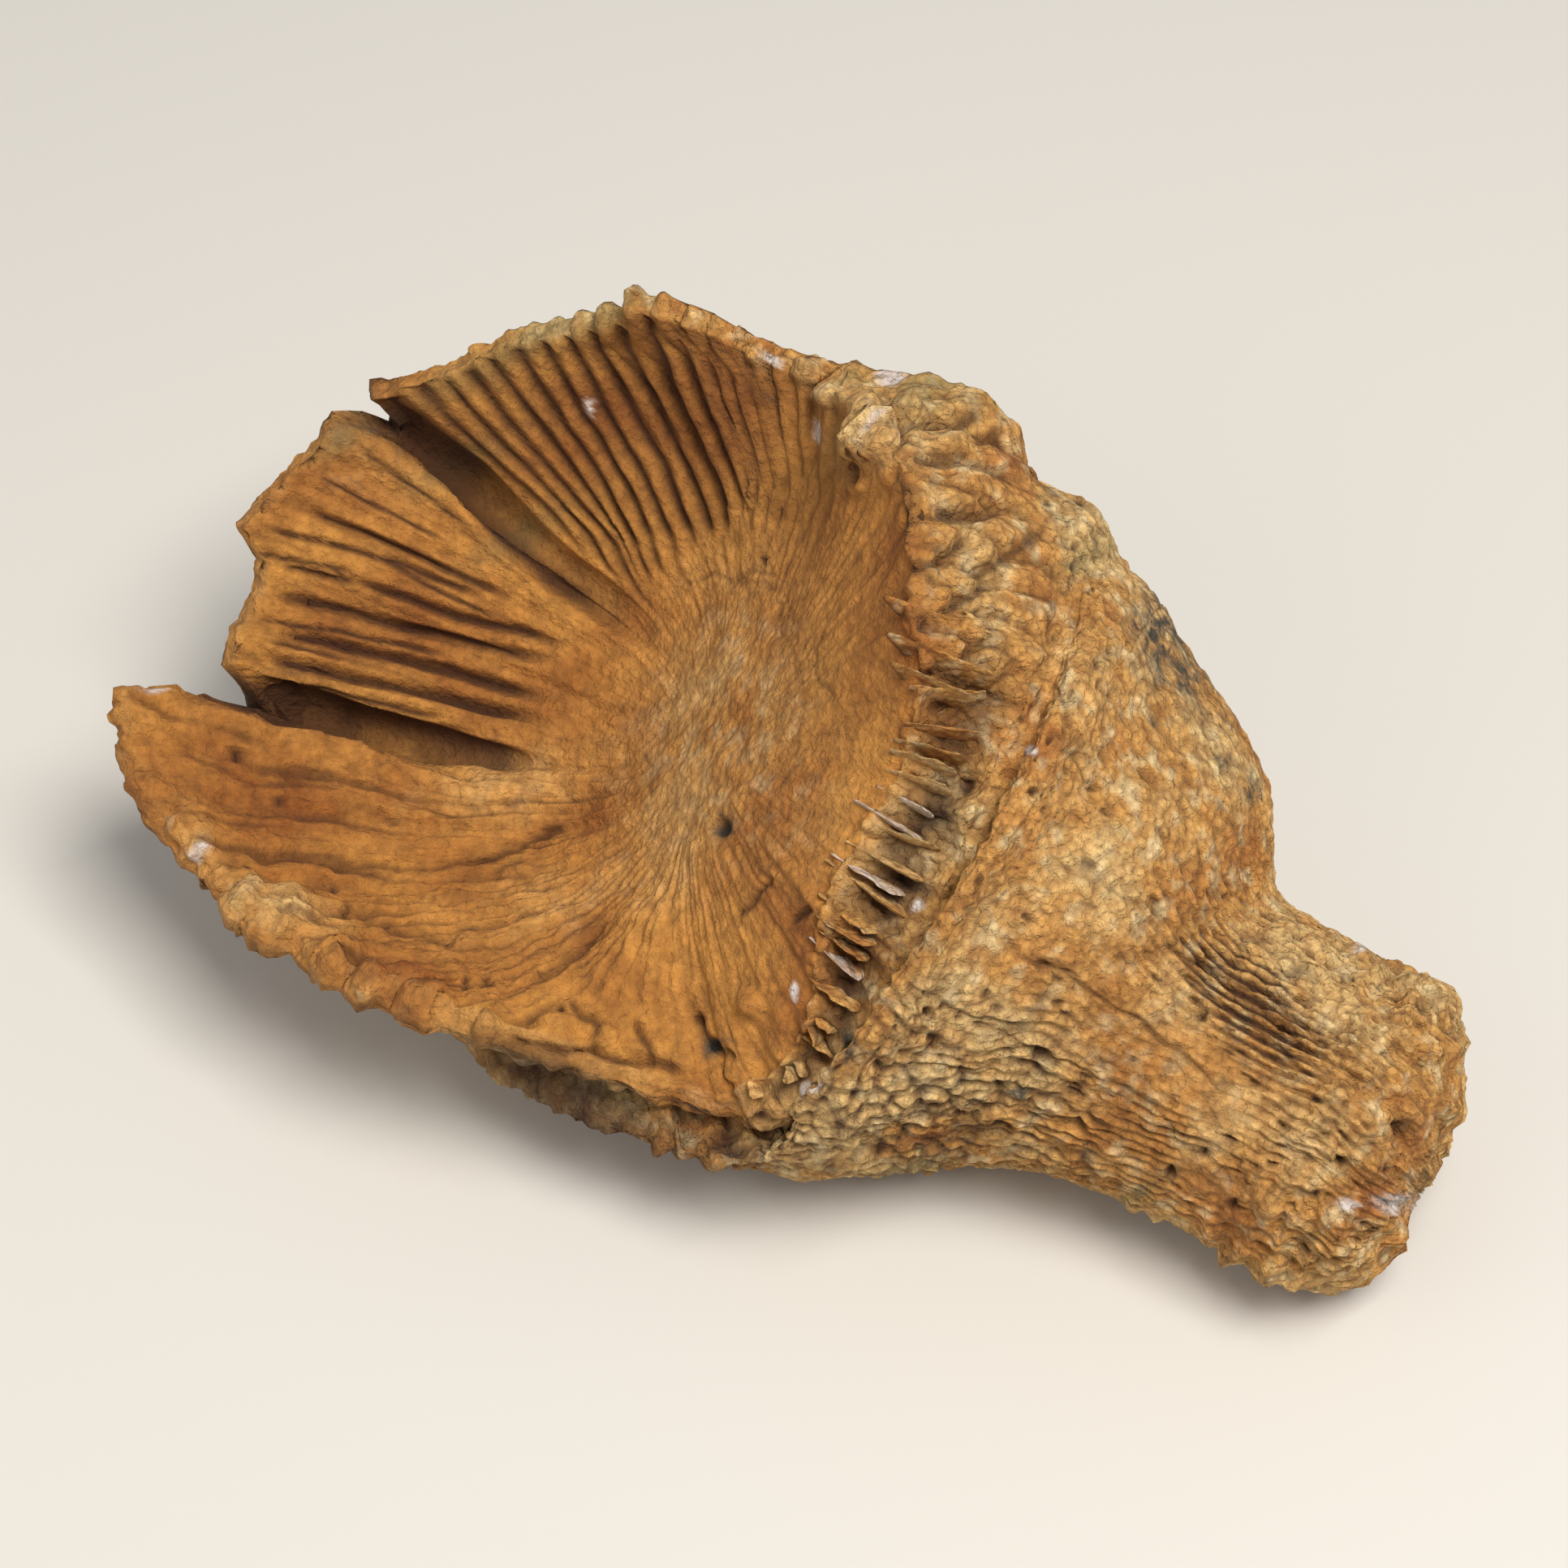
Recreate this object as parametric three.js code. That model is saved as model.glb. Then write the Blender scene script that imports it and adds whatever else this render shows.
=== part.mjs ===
// Fossil horn coral: a solitary coral with a stout bent stem and a wide broken cup.
// Millimetres, +Z up. X is the long way of the coral, from the tip of the cup to the foot.
// The coral lies on its worn underside, which is flat at z = 0.
// It grew as one piece, so it is one closed body.

import * as THREE from "three";

// Cup: its floor centre, the way it opens, and the side that is uppermost
const floorCentre = [-4.5, 2.3, 21.2];
const cupAxis = new THREE.Vector3(-0.7809, -0.0365, 0.6236).normalize();
const cupUpHint = new THREE.Vector3(0.431, 0.6912, 0.5801);
const floorRadius = 8.0; // flat middle of the cup floor
const wallCurve = 0.62; // where the floor turns up into the wall, as a share of the way out
const floorShare = 0.3; // share of the inner rows that lie on the flat middle

// Stem and body: centre x, y, z and radius of each station, foot first, cup floor last
const stations = [
  [33.9, -17.4, 9.4, 9.6],
  [28.7, -14.5, 10.2, 9.8],
  [23.5, -11.3, 11.0, 10.9],
  [17.7, -6.9, 12.6, 16.0],
  [11.1, -2.8, 14.1, 20.8],
  [4.2, 1.1, 16.5, 23.1],
  [-4.5, 2.6, 21.4, 23.6],
];
const footPole = [37.8, -20.3, 7.2];
const turnLength = 26; // length over which the stem's direction turns into the cup's

// Rim: azimuth in degrees about the cup axis, then radius and height of the
// outer edge, then radius and height of the inner edge, from the floor centre
const rim = [
  [-171, 21.2, -6.4, 17.2, -2.3],
  [-161, 21.2, -6.4, 17.6, -2.3],
  [-145, 21.6, -6.8, 20.0, -4.8],
  [-132, 21.8, -7.4, 20.4, -6.1],
  [-122, 21.8, -7.4, 20.6, -6.6],
  [-116, 21.4, -5.0, 20.4, -4.0],
  [-110, 21.2, -1.4, 20.2, -0.6],
  [-104, 21.2, 3.0, 20.0, 3.4],
  [-97, 21.4, 7.8, 20.2, 8.0],
  [-88, 22.0, 11.8, 20.8, 12.0],
  [-76, 22.6, 14.8, 21.4, 14.8],
  [-65, 23.4, 17.0, 22.2, 17.0],
  [-56, 24.6, 19.8, 23.4, 19.8],
  [-47, 25.4, 22.8, 24.2, 22.8],
  [-42, 25.5, 24.9, 24.4, 24.9],
  [-37, 25.5, 26.0, 24.4, 26.0],
  [-32, 25.5, 26.1, 24.4, 26.1],
  [-28, 25.5, 25.2, 24.4, 25.2],
  [-25, 25.3, 21.4, 24.2, 21.4],
  [-22.6, 25.0, 16.2, 23.8, 16.2],
  [-20.8, 25.0, 18.4, 23.8, 18.4],
  [-19.5, 25.0, 20.4, 23.8, 20.4],
  [-14, 25.0, 20.9, 23.8, 20.9],
  [-8, 25.0, 20.6, 23.8, 20.6],
  [-3.5, 25.0, 20.9, 23.8, 20.9],
  [-0.2, 25.0, 23.3, 23.8, 23.3],
  [6, 25.0, 22.4, 23.8, 22.4],
  [13, 25.0, 21.6, 23.8, 21.6],
  [20, 25.0, 21.1, 23.8, 21.1],
  [22, 24.6, 17.0, 23.4, 17.0],
  [24, 24.2, 17.4, 23.0, 17.4],
  [26, 24.2, 20.0, 23.0, 20.0],
  [32, 24.2, 19.0, 23.0, 19.0],
  [38, 24.2, 17.2, 23.0, 17.2],
  [46, 24.2, 16.2, 23.0, 16.2],
  [55, 24.2, 14.3, 23.0, 14.3],
  [64, 24.2, 12.6, 23.0, 12.6],
  [71, 24.1, 13.2, 22.9, 13.2],
  [76, 24.0, 12.3, 22.8, 12.3],
  [80, 23.8, 9.5, 22.7, 9.5],
  [84, 23.6, 5.5, 22.6, 5.8],
  [90, 24.0, 2.2, 22.4, 3.6],
  [97, 25.6, -1.2, 22.4, 4.0],
  [104, 26.6, -4.4, 22.5, 4.4],
  [112, 25.6, -6.0, 22.5, 4.0],
  [122, 23.8, -7.0, 22.2, 2.8],
  [134, 23.2, -7.0, 21.5, 2.0],
  [146, 22.6, -7.0, 21.2, 1.2],
  [160, 21.8, -6.0, 19.6, -1.2],
  [171, 21.2, -5.8, 17.8, -2.4],
];
const rimReach = 14; // length below the rim over which the body takes the rim's radius

// Folds of the wall under the two notches of the rim: azimuth, width in degrees, depth
const folds = [
  [24.5, 3.6, 1.3],
  [-22.6, 2.8, 1.7],
];
const foldStart = 3; // height at which the folds begin
const foldGrow = 8; // further height at which they are full depth

// Older flange under the lower lobe: height of its lip at each azimuth
const lipHeights = [
  [-128, -12.0],
  [-118, -9.0],
  [-108, -4.5],
  [-98, 0.5],
  [-88, 4.2],
  [-76, 5.0],
  [-66, 5.0],
];
const lipStep = 0.8; // length of the step up to the flange
const lipSwell = 0.7; // how far the lip stands out
const lipGap = 0.9; // depth of the gap above the lip

// Upper shoulder and pressed underside: distance from the floor centre and change of radius
const shoulder = [
  [-34, 0],
  [-27, 1.2],
  [-21, 1.0],
  [-15, -0.6],
  [-11, -1.8],
  [-6, -0.8],
  [0, 0],
];
const pressed = [
  [-34, 0],
  [-22, -2.2],
  [-10, -2.2],
  [2, -1.1],
  [12, 0],
];

const centring = [0.19, 0.15, 0]; // brings the middle of the outline over the origin

// Fineness of the facets
const spineSamples = 200;
const widestStep = 6.2; // degrees between columns
const footRows = 5;
const bodyRows = 24;
const bandRows = 2;
const cupRows = 12;

const limestone = new THREE.MeshStandardMaterial({ color: 0xc8924e, roughness: 0.92, metalness: 0 });

// Value of a table of [place, value] rows at a place, straight between rows, level past its ends
function along(table, place, column = 1) {
  if (place <= table[0][0]) return table[0][column];
  for (let i = 1; i < table.length; i++) {
    if (place <= table[i][0]) {
      const t = (place - table[i - 1][0]) / (table[i][0] - table[i - 1][0]);
      return table[i - 1][column] * (1 - t) + table[i][column] * t;
    }
  }
  return table[table.length - 1][column];
}

// Smooth rise from 0 to 1
function rise(t) {
  const c = Math.min(1, Math.max(0, t));
  return c * c * (3 - 2 * c);
}

// Hump of height 1 round a place; a higher power gives a flatter top and steeper sides
function hump(value, place, width, power = 2) {
  return Math.exp(-(Math.abs((value - place) / width) ** power));
}

// Station values on a smooth curve through the rows of the table
function stationAt(t) {
  const last = stations.length - 1;
  const i = Math.min(Math.floor(t), last - 1);
  const f = t - i;
  const row = (k) => {
    if (k < 0) return stations[0].map((v, c) => 2 * v - stations[1][c]);
    if (k > last) return stations[last].map((v, c) => 2 * v - stations[last - 1][c]);
    return stations[k];
  };
  const [a, b, c, d] = [row(i - 1), row(i), row(i + 1), row(i + 2)];
  return b.map((v, k) => {
    const first = (c[k] - a[k]) * f;
    const second = (2 * a[k] - 5 * v + 4 * c[k] - d[k]) * f ** 2;
    const third = (3 * v - a[k] - 3 * c[k] + d[k]) * f ** 3;
    return 0.5 * (2 * v + first + second + third);
  });
}

// Two directions square to the axis: up the picture side first, then away from it
function square(axis) {
  const up = cupUpHint.clone().addScaledVector(axis, -cupUpHint.dot(axis)).normalize();
  const far = new THREE.Vector3().crossVectors(axis, up).negate();
  if (far.y < 0) far.negate();
  return { up, far };
}

// The spine: distance from the floor centre (negative towards the foot), centre, radius and directions
function makeSpine() {
  const rows = [];
  for (let i = 0; i < spineSamples; i++) {
    const v = stationAt((i / (spineSamples - 1)) * (stations.length - 1));
    rows.push({ centre: new THREE.Vector3(v[0], v[1], v[2]), radius: v[3], at: 0 });
  }
  for (let i = 1; i < spineSamples; i++) {
    rows[i].at = rows[i - 1].at + rows[i].centre.distanceTo(rows[i - 1].centre);
  }
  const total = rows[spineSamples - 1].at;
  rows.forEach((row, i) => {
    row.at -= total;
    const before = rows[Math.max(0, i - 1)].centre;
    const after = rows[Math.min(spineSamples - 1, i + 1)].centre;
    const way = after.clone().sub(before).normalize();
    const axis = way.lerp(cupAxis, rise(1 + row.at / turnLength)).normalize();
    Object.assign(row, square(axis));
  });
  return rows;
}

const spine = makeSpine();
const spineStart = spine[0].at;
const floorPoint = new THREE.Vector3(...floorCentre);
const cupWays = square(cupAxis);

function spineAt(at) {
  const t = Math.min(1, Math.max(0, 1 - at / spineStart)) * (spineSamples - 1);
  let i = Math.min(Math.floor(t), spineSamples - 2);
  while (i > 0 && spine[i].at > at) i--;
  while (i < spineSamples - 2 && spine[i + 1].at < at) i++;
  const a = spine[i];
  const b = spine[i + 1];
  const f = Math.min(1, Math.max(0, (at - a.at) / (b.at - a.at)));
  return {
    centre: a.centre.clone().lerp(b.centre, f),
    radius: a.radius * (1 - f) + b.radius * f,
    up: a.up.clone().lerp(b.up, f),
    far: a.far.clone().lerp(b.far, f),
  };
}

// Point at a radius, azimuth (degrees) and height in the cup's own directions
function cupPoint(radius, azimuth, height) {
  const a = THREE.MathUtils.degToRad(azimuth);
  return floorPoint
    .clone()
    .addScaledVector(cupAxis, height)
    .addScaledVector(cupWays.far, radius * Math.cos(a))
    .addScaledVector(cupWays.up, radius * Math.sin(a));
}

function foldDepth(azimuth) {
  return folds.reduce((sum, [place, width, depth]) => sum + depth * hump(azimuth, place, width), 0);
}

// Swell of the older flange and the folds, added to the radius
function extraRadius(azimuth, at) {
  const lip = along(lipHeights, azimuth);
  const zone = hump(azimuth, -102, 24, 6);
  const swell = lipSwell * hump(at, lip - 1.5, 1.2) - lipGap * hump(at, lip + 0.9, 0.9);
  return zone * swell + foldDepth(azimuth) * rise((at - foldStart) / foldGrow);
}

// Point of the body: a ring about the spine
function bodyPoint(azimuth, at) {
  const here = spineAt(Math.min(at, 0));
  const a = THREE.MathUtils.degToRad(azimuth);
  const shaped =
    here.radius +
    extraRadius(azimuth, at) +
    hump(azimuth, 98, 34) * along(shoulder, at) +
    hump(azimuth, -38, 52) * along(pressed, at);
  return here.centre
    .clone()
    .addScaledVector(cupAxis, Math.max(at, 0))
    .addScaledVector(here.far, shaped * Math.cos(a))
    .addScaledVector(here.up, shaped * Math.sin(a));
}

// Height of a point along the cup's axis, from the floor centre
function heightOf(point) {
  return point.clone().sub(floorPoint).dot(cupAxis);
}

// Point of the outer wall: azimuth column and share of the way from the foot to the rim.
// The body's rings turn into the rim's own radius and height over the reach below the rim.
function outerPoint(column, share) {
  const { azimuth, outerRadius, outerHeight } = column;
  const at = spineStart + (outerHeight - spineStart) * share;
  const body = bodyPoint(azimuth, at);
  const layer = hump(azimuth, -100, 26, 6);
  const plain = rise((at - outerHeight + rimReach) / rimReach);
  const stepped = rise((at - along(lipHeights, azimuth) + lipStep) / lipStep);
  const lift = (outerHeight - heightOf(bodyPoint(azimuth, outerHeight))) * plain;
  const height = (heightOf(body) + lift) * (1 - layer) + at * layer;
  const top = cupPoint(outerRadius + extraRadius(azimuth, at), azimuth, height);
  return body.lerp(top, plain * (1 - layer) + stepped * layer);
}

// Point across the broken edge, from the outer rim to the inner
function bandPoint(column, share) {
  const fold = foldDepth(column.azimuth) * rise((column.outerHeight - foldStart) / foldGrow);
  const radius = column.outerRadius + (column.innerRadius - column.outerRadius) * share;
  const height = column.outerHeight + (column.innerHeight - column.outerHeight) * share;
  return cupPoint(radius + fold, column.azimuth, height);
}

// Point of the cup's inside, from the rim down the wall and across the floor to its centre
function innerPoint(column, share) {
  const wall = 1 - floorShare;
  const q = Math.min(1, share / wall);
  const bendRadius = floorRadius + (column.innerRadius - floorRadius) * wallCurve;
  const bendHeight = Math.min(0.5, column.innerHeight * 0.3);
  let radius = (1 - q) ** 2 * column.innerRadius + 2 * q * (1 - q) * bendRadius + q * q * floorRadius;
  const height = (1 - q) ** 2 * column.innerHeight + 2 * q * (1 - q) * bendHeight;
  radius += foldDepth(column.azimuth) * rise((height - foldStart) / foldGrow);
  if (share > wall) radius *= 1 - (share - wall) / floorShare;
  return cupPoint(radius, column.azimuth, height);
}

// Columns: every row of the rim table, with even steps between rows that lie far apart
function makeColumns() {
  const closed = [...rim, [rim[0][0] + 360, ...rim[0].slice(1)]];
  const columns = [];
  for (let i = 0; i < rim.length; i++) {
    const steps = Math.ceil((closed[i + 1][0] - closed[i][0]) / widestStep);
    for (let k = 0; k < steps; k++) {
      const v = closed[i].map((value, c) => value + ((closed[i + 1][c] - value) * k) / steps);
      columns.push({
        azimuth: v[0],
        outerRadius: v[1],
        outerHeight: v[2],
        innerRadius: v[3],
        innerHeight: v[4],
      });
    }
  }
  return columns;
}

function makeCoral() {
  const columns = makeColumns();
  const foot = new THREE.Vector3(...footPole);
  const base = spine[0];
  const rings = [];
  for (let i = 1; i < footRows; i++) {
    const turn = (i / footRows) * (Math.PI / 2);
    const centre = base.centre.clone().lerp(foot, Math.cos(turn));
    const radius = base.radius * Math.sin(turn) ** 0.8;
    rings.push(
      columns.map(({ azimuth }) => {
        const a = THREE.MathUtils.degToRad(azimuth);
        return centre
          .clone()
          .addScaledVector(base.far, radius * Math.cos(a))
          .addScaledVector(base.up, radius * Math.sin(a));
      }),
    );
  }
  for (let i = 0; i < bodyRows; i++) {
    rings.push(columns.map((column) => outerPoint(column, i / (bodyRows - 1))));
  }
  for (let i = 1; i <= bandRows; i++) {
    rings.push(columns.map((column) => bandPoint(column, i / bandRows)));
  }
  for (let i = 1; i < cupRows; i++) {
    rings.push(columns.map((column) => innerPoint(column, i / cupRows)));
  }

  const points = [foot, ...rings.flat(), floorPoint];
  const faces = [];
  const n = columns.length;
  const last = points.length - 1;
  const at = (ring, k) => 1 + ring * n + (k % n);
  for (let k = 0; k < n; k++) {
    faces.push(0, at(0, k), at(0, k + 1));
    for (let ring = 0; ring < rings.length - 1; ring++) {
      faces.push(at(ring, k), at(ring + 1, k + 1), at(ring, k + 1));
      faces.push(at(ring, k), at(ring + 1, k), at(ring + 1, k + 1));
    }
    faces.push(last, at(rings.length - 1, k + 1), at(rings.length - 1, k));
  }

  const positions = points.flatMap((p) => [p.x, p.y, Math.max(p.z, 0)]);
  const geometry = new THREE.BufferGeometry();
  geometry.setAttribute("position", new THREE.Float32BufferAttribute(positions, 3));
  geometry.setIndex(faces);
  geometry.computeVertexNormals();
  return geometry;
}

const coral = new THREE.Mesh(makeCoral(), limestone);
coral.name = "horn_coral";
coral.position.set(...centring);

const group = new THREE.Group();
group.name = "fossil_horn_coral";
group.add(coral);

export default group;
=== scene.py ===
import math
import bpy
import numpy as np
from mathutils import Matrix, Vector


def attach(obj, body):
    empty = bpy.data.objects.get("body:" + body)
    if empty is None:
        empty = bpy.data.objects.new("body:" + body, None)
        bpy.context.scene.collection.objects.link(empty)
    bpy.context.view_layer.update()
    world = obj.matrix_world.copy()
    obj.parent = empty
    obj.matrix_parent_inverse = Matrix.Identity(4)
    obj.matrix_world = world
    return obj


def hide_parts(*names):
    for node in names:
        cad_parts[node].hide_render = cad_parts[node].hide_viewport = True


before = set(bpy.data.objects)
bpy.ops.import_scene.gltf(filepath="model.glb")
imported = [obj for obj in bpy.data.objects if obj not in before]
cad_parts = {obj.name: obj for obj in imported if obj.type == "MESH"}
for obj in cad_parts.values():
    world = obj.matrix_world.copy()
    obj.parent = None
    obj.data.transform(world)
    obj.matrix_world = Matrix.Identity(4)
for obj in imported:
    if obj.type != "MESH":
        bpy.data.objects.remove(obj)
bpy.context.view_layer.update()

metre = 0.001

# The view: where the camera stands, and how a millimetre lands on the picture
view = {
    "target": (0.37, 0.73, 19.76),
    "distance": 261.8,
    "elevation": 50.0,
    "lens": 100.0,
    "sensor": 36.0,
    "picture": 1932,
}

# The body: spine stations x, y, z, radius, then the cup that stands on its end
body = {
    "stations": [
        (33.9, -17.4, 9.4, 9.6),
        (28.7, -14.5, 10.2, 9.8),
        (23.5, -11.3, 11.0, 10.9),
        (17.7, -6.9, 12.6, 16.0),
        (11.1, -2.8, 14.1, 20.8),
        (4.2, 1.1, 16.5, 23.1),
        (-4.5, 2.6, 21.4, 23.6),
    ],
    "footPole": (37.8, -20.3, 7.2),
    "floorCentre": (-4.5, 2.3, 21.2),
    "centring": (0.19, 0.15, 0.0),
    "cupAxis": (-0.7809, -0.0365, 0.6236),
    "upHint": (0.431, 0.6912, 0.5801),
    "floorRadius": 8.0,
    "wallCurve": 0.62,
    "floorShare": 0.3,
    "turnLength": 26.0,
    "rimReach": 14.0,
}

# The rim: azimuth, outer radius and height, inner radius and height
rimRows = [
    (-171, 21.2, -6.4, 17.2, -2.3), (-161, 21.2, -6.4, 17.6, -2.3), (-145, 21.6, -6.8, 20.0, -4.8),
    (-132, 21.8, -7.4, 20.4, -6.1), (-122, 21.8, -7.4, 20.6, -6.6), (-116, 21.4, -5.0, 20.4, -4.0),
    (-110, 21.2, -1.4, 20.2, -0.6), (-104, 21.2, 3.0, 20.0, 3.4), (-97, 21.4, 7.8, 20.2, 8.0),
    (-88, 22.0, 11.8, 20.8, 12.0), (-76, 22.6, 14.8, 21.4, 14.8), (-65, 23.4, 17.0, 22.2, 17.0),
    (-56, 24.6, 19.8, 23.4, 19.8), (-47, 25.4, 22.8, 24.2, 22.8), (-42, 25.5, 24.9, 24.4, 24.9),
    (-37, 25.5, 26.0, 24.4, 26.0), (-32, 25.5, 26.1, 24.4, 26.1), (-28, 25.5, 25.2, 24.4, 25.2),
    (-25, 25.3, 21.4, 24.2, 21.4), (-22.6, 25.0, 16.2, 23.8, 16.2), (-20.8, 25.0, 18.4, 23.8, 18.4),
    (-19.5, 25.0, 20.4, 23.8, 20.4), (-14, 25.0, 20.9, 23.8, 20.9), (-8, 25.0, 20.6, 23.8, 20.6),
    (-3.5, 25.0, 20.9, 23.8, 20.9), (-0.2, 25.0, 23.3, 23.8, 23.3), (6, 25.0, 22.4, 23.8, 22.4),
    (13, 25.0, 21.6, 23.8, 21.6), (20, 25.0, 21.1, 23.8, 21.1), (22, 24.6, 17.0, 23.4, 17.0),
    (24, 24.2, 17.4, 23.0, 17.4), (26, 24.2, 20.0, 23.0, 20.0), (32, 24.2, 19.0, 23.0, 19.0),
    (38, 24.2, 17.2, 23.0, 17.2), (46, 24.2, 16.2, 23.0, 16.2), (55, 24.2, 14.3, 23.0, 14.3),
    (64, 24.2, 12.6, 23.0, 12.6), (71, 24.1, 13.2, 22.9, 13.2), (76, 24.0, 12.3, 22.8, 12.3),
    (80, 23.8, 9.5, 22.7, 9.5), (84, 23.6, 5.5, 22.6, 5.8), (90, 24.0, 2.2, 22.4, 3.6),
    (97, 25.6, -1.2, 22.4, 4.0), (104, 26.6, -4.4, 22.5, 4.4), (112, 25.6, -6.0, 22.5, 4.0),
    (122, 23.8, -7.0, 22.2, 2.8), (134, 23.2, -7.0, 21.5, 2.0), (146, 22.6, -7.0, 21.2, 1.2),
    (160, 21.8, -6.0, 19.6, -1.2), (171, 21.2, -5.8, 17.8, -2.4),
]
# Folds under the notches: azimuth, width, depth. Notch bottoms and the wall behind them: azimuth, width.
folds = [(24.5, 3.6, 1.3), (-22.6, 2.8, 1.7)]
notchPlaces = [(23.2, 2.6), (-22.8, 2.6)]
gullyPlaces = [(23.5, 4.5), (-23, 4.0)]
# Rows of azimuth and height, or of place and change of radius, in millimetres
lipHeights = [(-128, -12.0), (-118, -9.0), (-108, -4.5), (-98, 0.5), (-88, 4.2), (-76, 5.0), (-66, 5.0)]
shoulder = [(-34, 0), (-27, 1.2), (-21, 1.0), (-15, -0.6), (-11, -1.8), (-6, -0.8), (0, 0)]
pressed = [(-34, 0), (-22, -2.2), (-10, -2.2), (2, -1.1), (12, 0)]

# How fine the meshes are
grid = {"columns": 720, "capRows": 22, "stemRows": 92, "bodyRows": 118, "bandRows": 24, "cupRows": 88,
        "stemEnd": -20.0}


# Value of a table of (place, value) rows at each place, straight between rows
def along(table, place):
    rows = np.array(table, float)
    return np.interp(place, rows[:, 0], rows[:, 1])


# Smooth step from 0 to 1: t * t * (3 - 2t), held at its ends
def rise(t):
    t = np.clip(t, 0.0, 1.0)
    return t * t * (3 - 2 * t)


# Hump of height 1 round a place: exp(-|distance / width| ^ power)
def hump(value, place, width, power=2):
    return np.exp(-np.abs((value - place) / width) ** power)


# 1 between two places: a smooth step in at the first, times what is left of one at the second
def between(value, start, startWidth, end, endWidth):
    return rise((value - start) / startWidth) * (1 - rise((value - end) / endWidth))


# 1 past the high place or short of the low one: the two smooth steps added up
def beyond(value, high, highWidth, low, lowWidth):
    return rise((value - high) / highWidth) + (1 - rise((value - low) / lowWidth))


# Round top of a cell: a quarter ellipse, 1 in the middle and 0 from the radius on
def roundTop(distance, radius):
    return np.sqrt(np.clip(1 - (distance / radius) ** 2, 0, 1))


# The highest of several humps
def humps(value, places, power=2):
    return np.max([hump(value, place, width, power) for place, width in places], axis=0)


# Vector divided by its length
def unit(v):
    return v / np.linalg.norm(v, axis=-1, keepdims=True)


# Repeatable scatter of whole numbers: each triple gives numbers between 0 and 1
def scatter(a, b, c, seed, count):
    h = (a * 73856093) ^ (b * 19349663) ^ (c * 83492791) ^ (seed * 2654435761)
    h &= 0xFFFFFFFF
    out = []
    for k in range(count):
        h = ((h ^ (h >> 16)) * 0x45D9F3B + 0x9E3779B9 * (k + 1)) & 0xFFFFFFFF
        h = ((h ^ (h >> 15)) * 0x2C1B3C6D) & 0xFFFFFFFF
        out.append(((h ^ (h >> 13)) & 0xFFFFFF) / 0xFFFFFF)
    return out


# Smooth noise of about -1 to 1: eight corner slopes of the cell, mixed by a quintic step
def noise(points, size, seed):
    p = points / size
    cell = np.floor(p).astype(np.int64)
    f = p - cell
    u = f ** 3 * (f * (f * 6 - 15) + 10)
    total = 0.0
    for i in (0, 1):
        for j in (0, 1):
            for k in (0, 1):
                gx, gy, gz = scatter(cell[..., 0] + i, cell[..., 1] + j, cell[..., 2] + k, seed, 3)
                dot = ((gx - 0.5) * (f[..., 0] - i) + (gy - 0.5) * (f[..., 1] - j)
                       + (gz - 0.5) * (f[..., 2] - k))
                wx = u[..., 0] if i else 1 - u[..., 0]
                wy = u[..., 1] if j else 1 - u[..., 1]
                wz = u[..., 2] if k else 1 - u[..., 2]
                total = total + dot * wx * wy * wz
    return total * 3.0


# Noise of three sizes added up, each half the size and half the height of the one before
def rough(points, size, seed):
    return noise(points, size, seed) + 0.5 * noise(points, size / 2, seed + 1) \
        + 0.25 * noise(points, size / 4, seed + 2)


# Cells on a surface: u runs round it and joins up after wrap cells, v runs along it.
# Gives the distance to the nearest cell centre and to the next, that cell's two random numbers,
# and the offset along v from its centre.
def cells(u, v, wrap, seed, jitterU=0.8, jitterV=0.8):
    cu, cv = np.floor(u).astype(np.int64), np.floor(v).astype(np.int64)
    first = np.full(u.shape, 9.0)
    second = np.full(u.shape, 9.0)
    tone = np.zeros(u.shape)
    size = np.zeros(u.shape)
    lag = np.zeros(u.shape)
    for i in (-1, 0, 1):
        for j in (-1, 0, 1):
            a, b, c, d = scatter((cu + i) % wrap, cv + j, 0 * cu, seed, 4)
            du = u - (cu + i + 0.5 + (a - 0.5) * jitterU)
            dv = v - (cv + j + 0.5 + (b - 0.5) * jitterV)
            dist = np.hypot(du, dv)
            nearer = dist < first
            second = np.where(nearer, first, np.minimum(second, dist))
            tone = np.where(nearer, c, tone)
            size = np.where(nearer, d, size)
            lag = np.where(nearer, dv, lag)
            first = np.where(nearer, dist, first)
    return first, second, tone, size, lag


# Directions square to an axis: up the picture, and away from it
def square(axis):
    hint = np.array(body["upHint"])
    up = unit(hint - (axis @ hint)[..., None] * axis)
    far = -np.cross(axis, up)
    return up, np.where(far[..., 1:2] < 0, -far, far)


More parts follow.
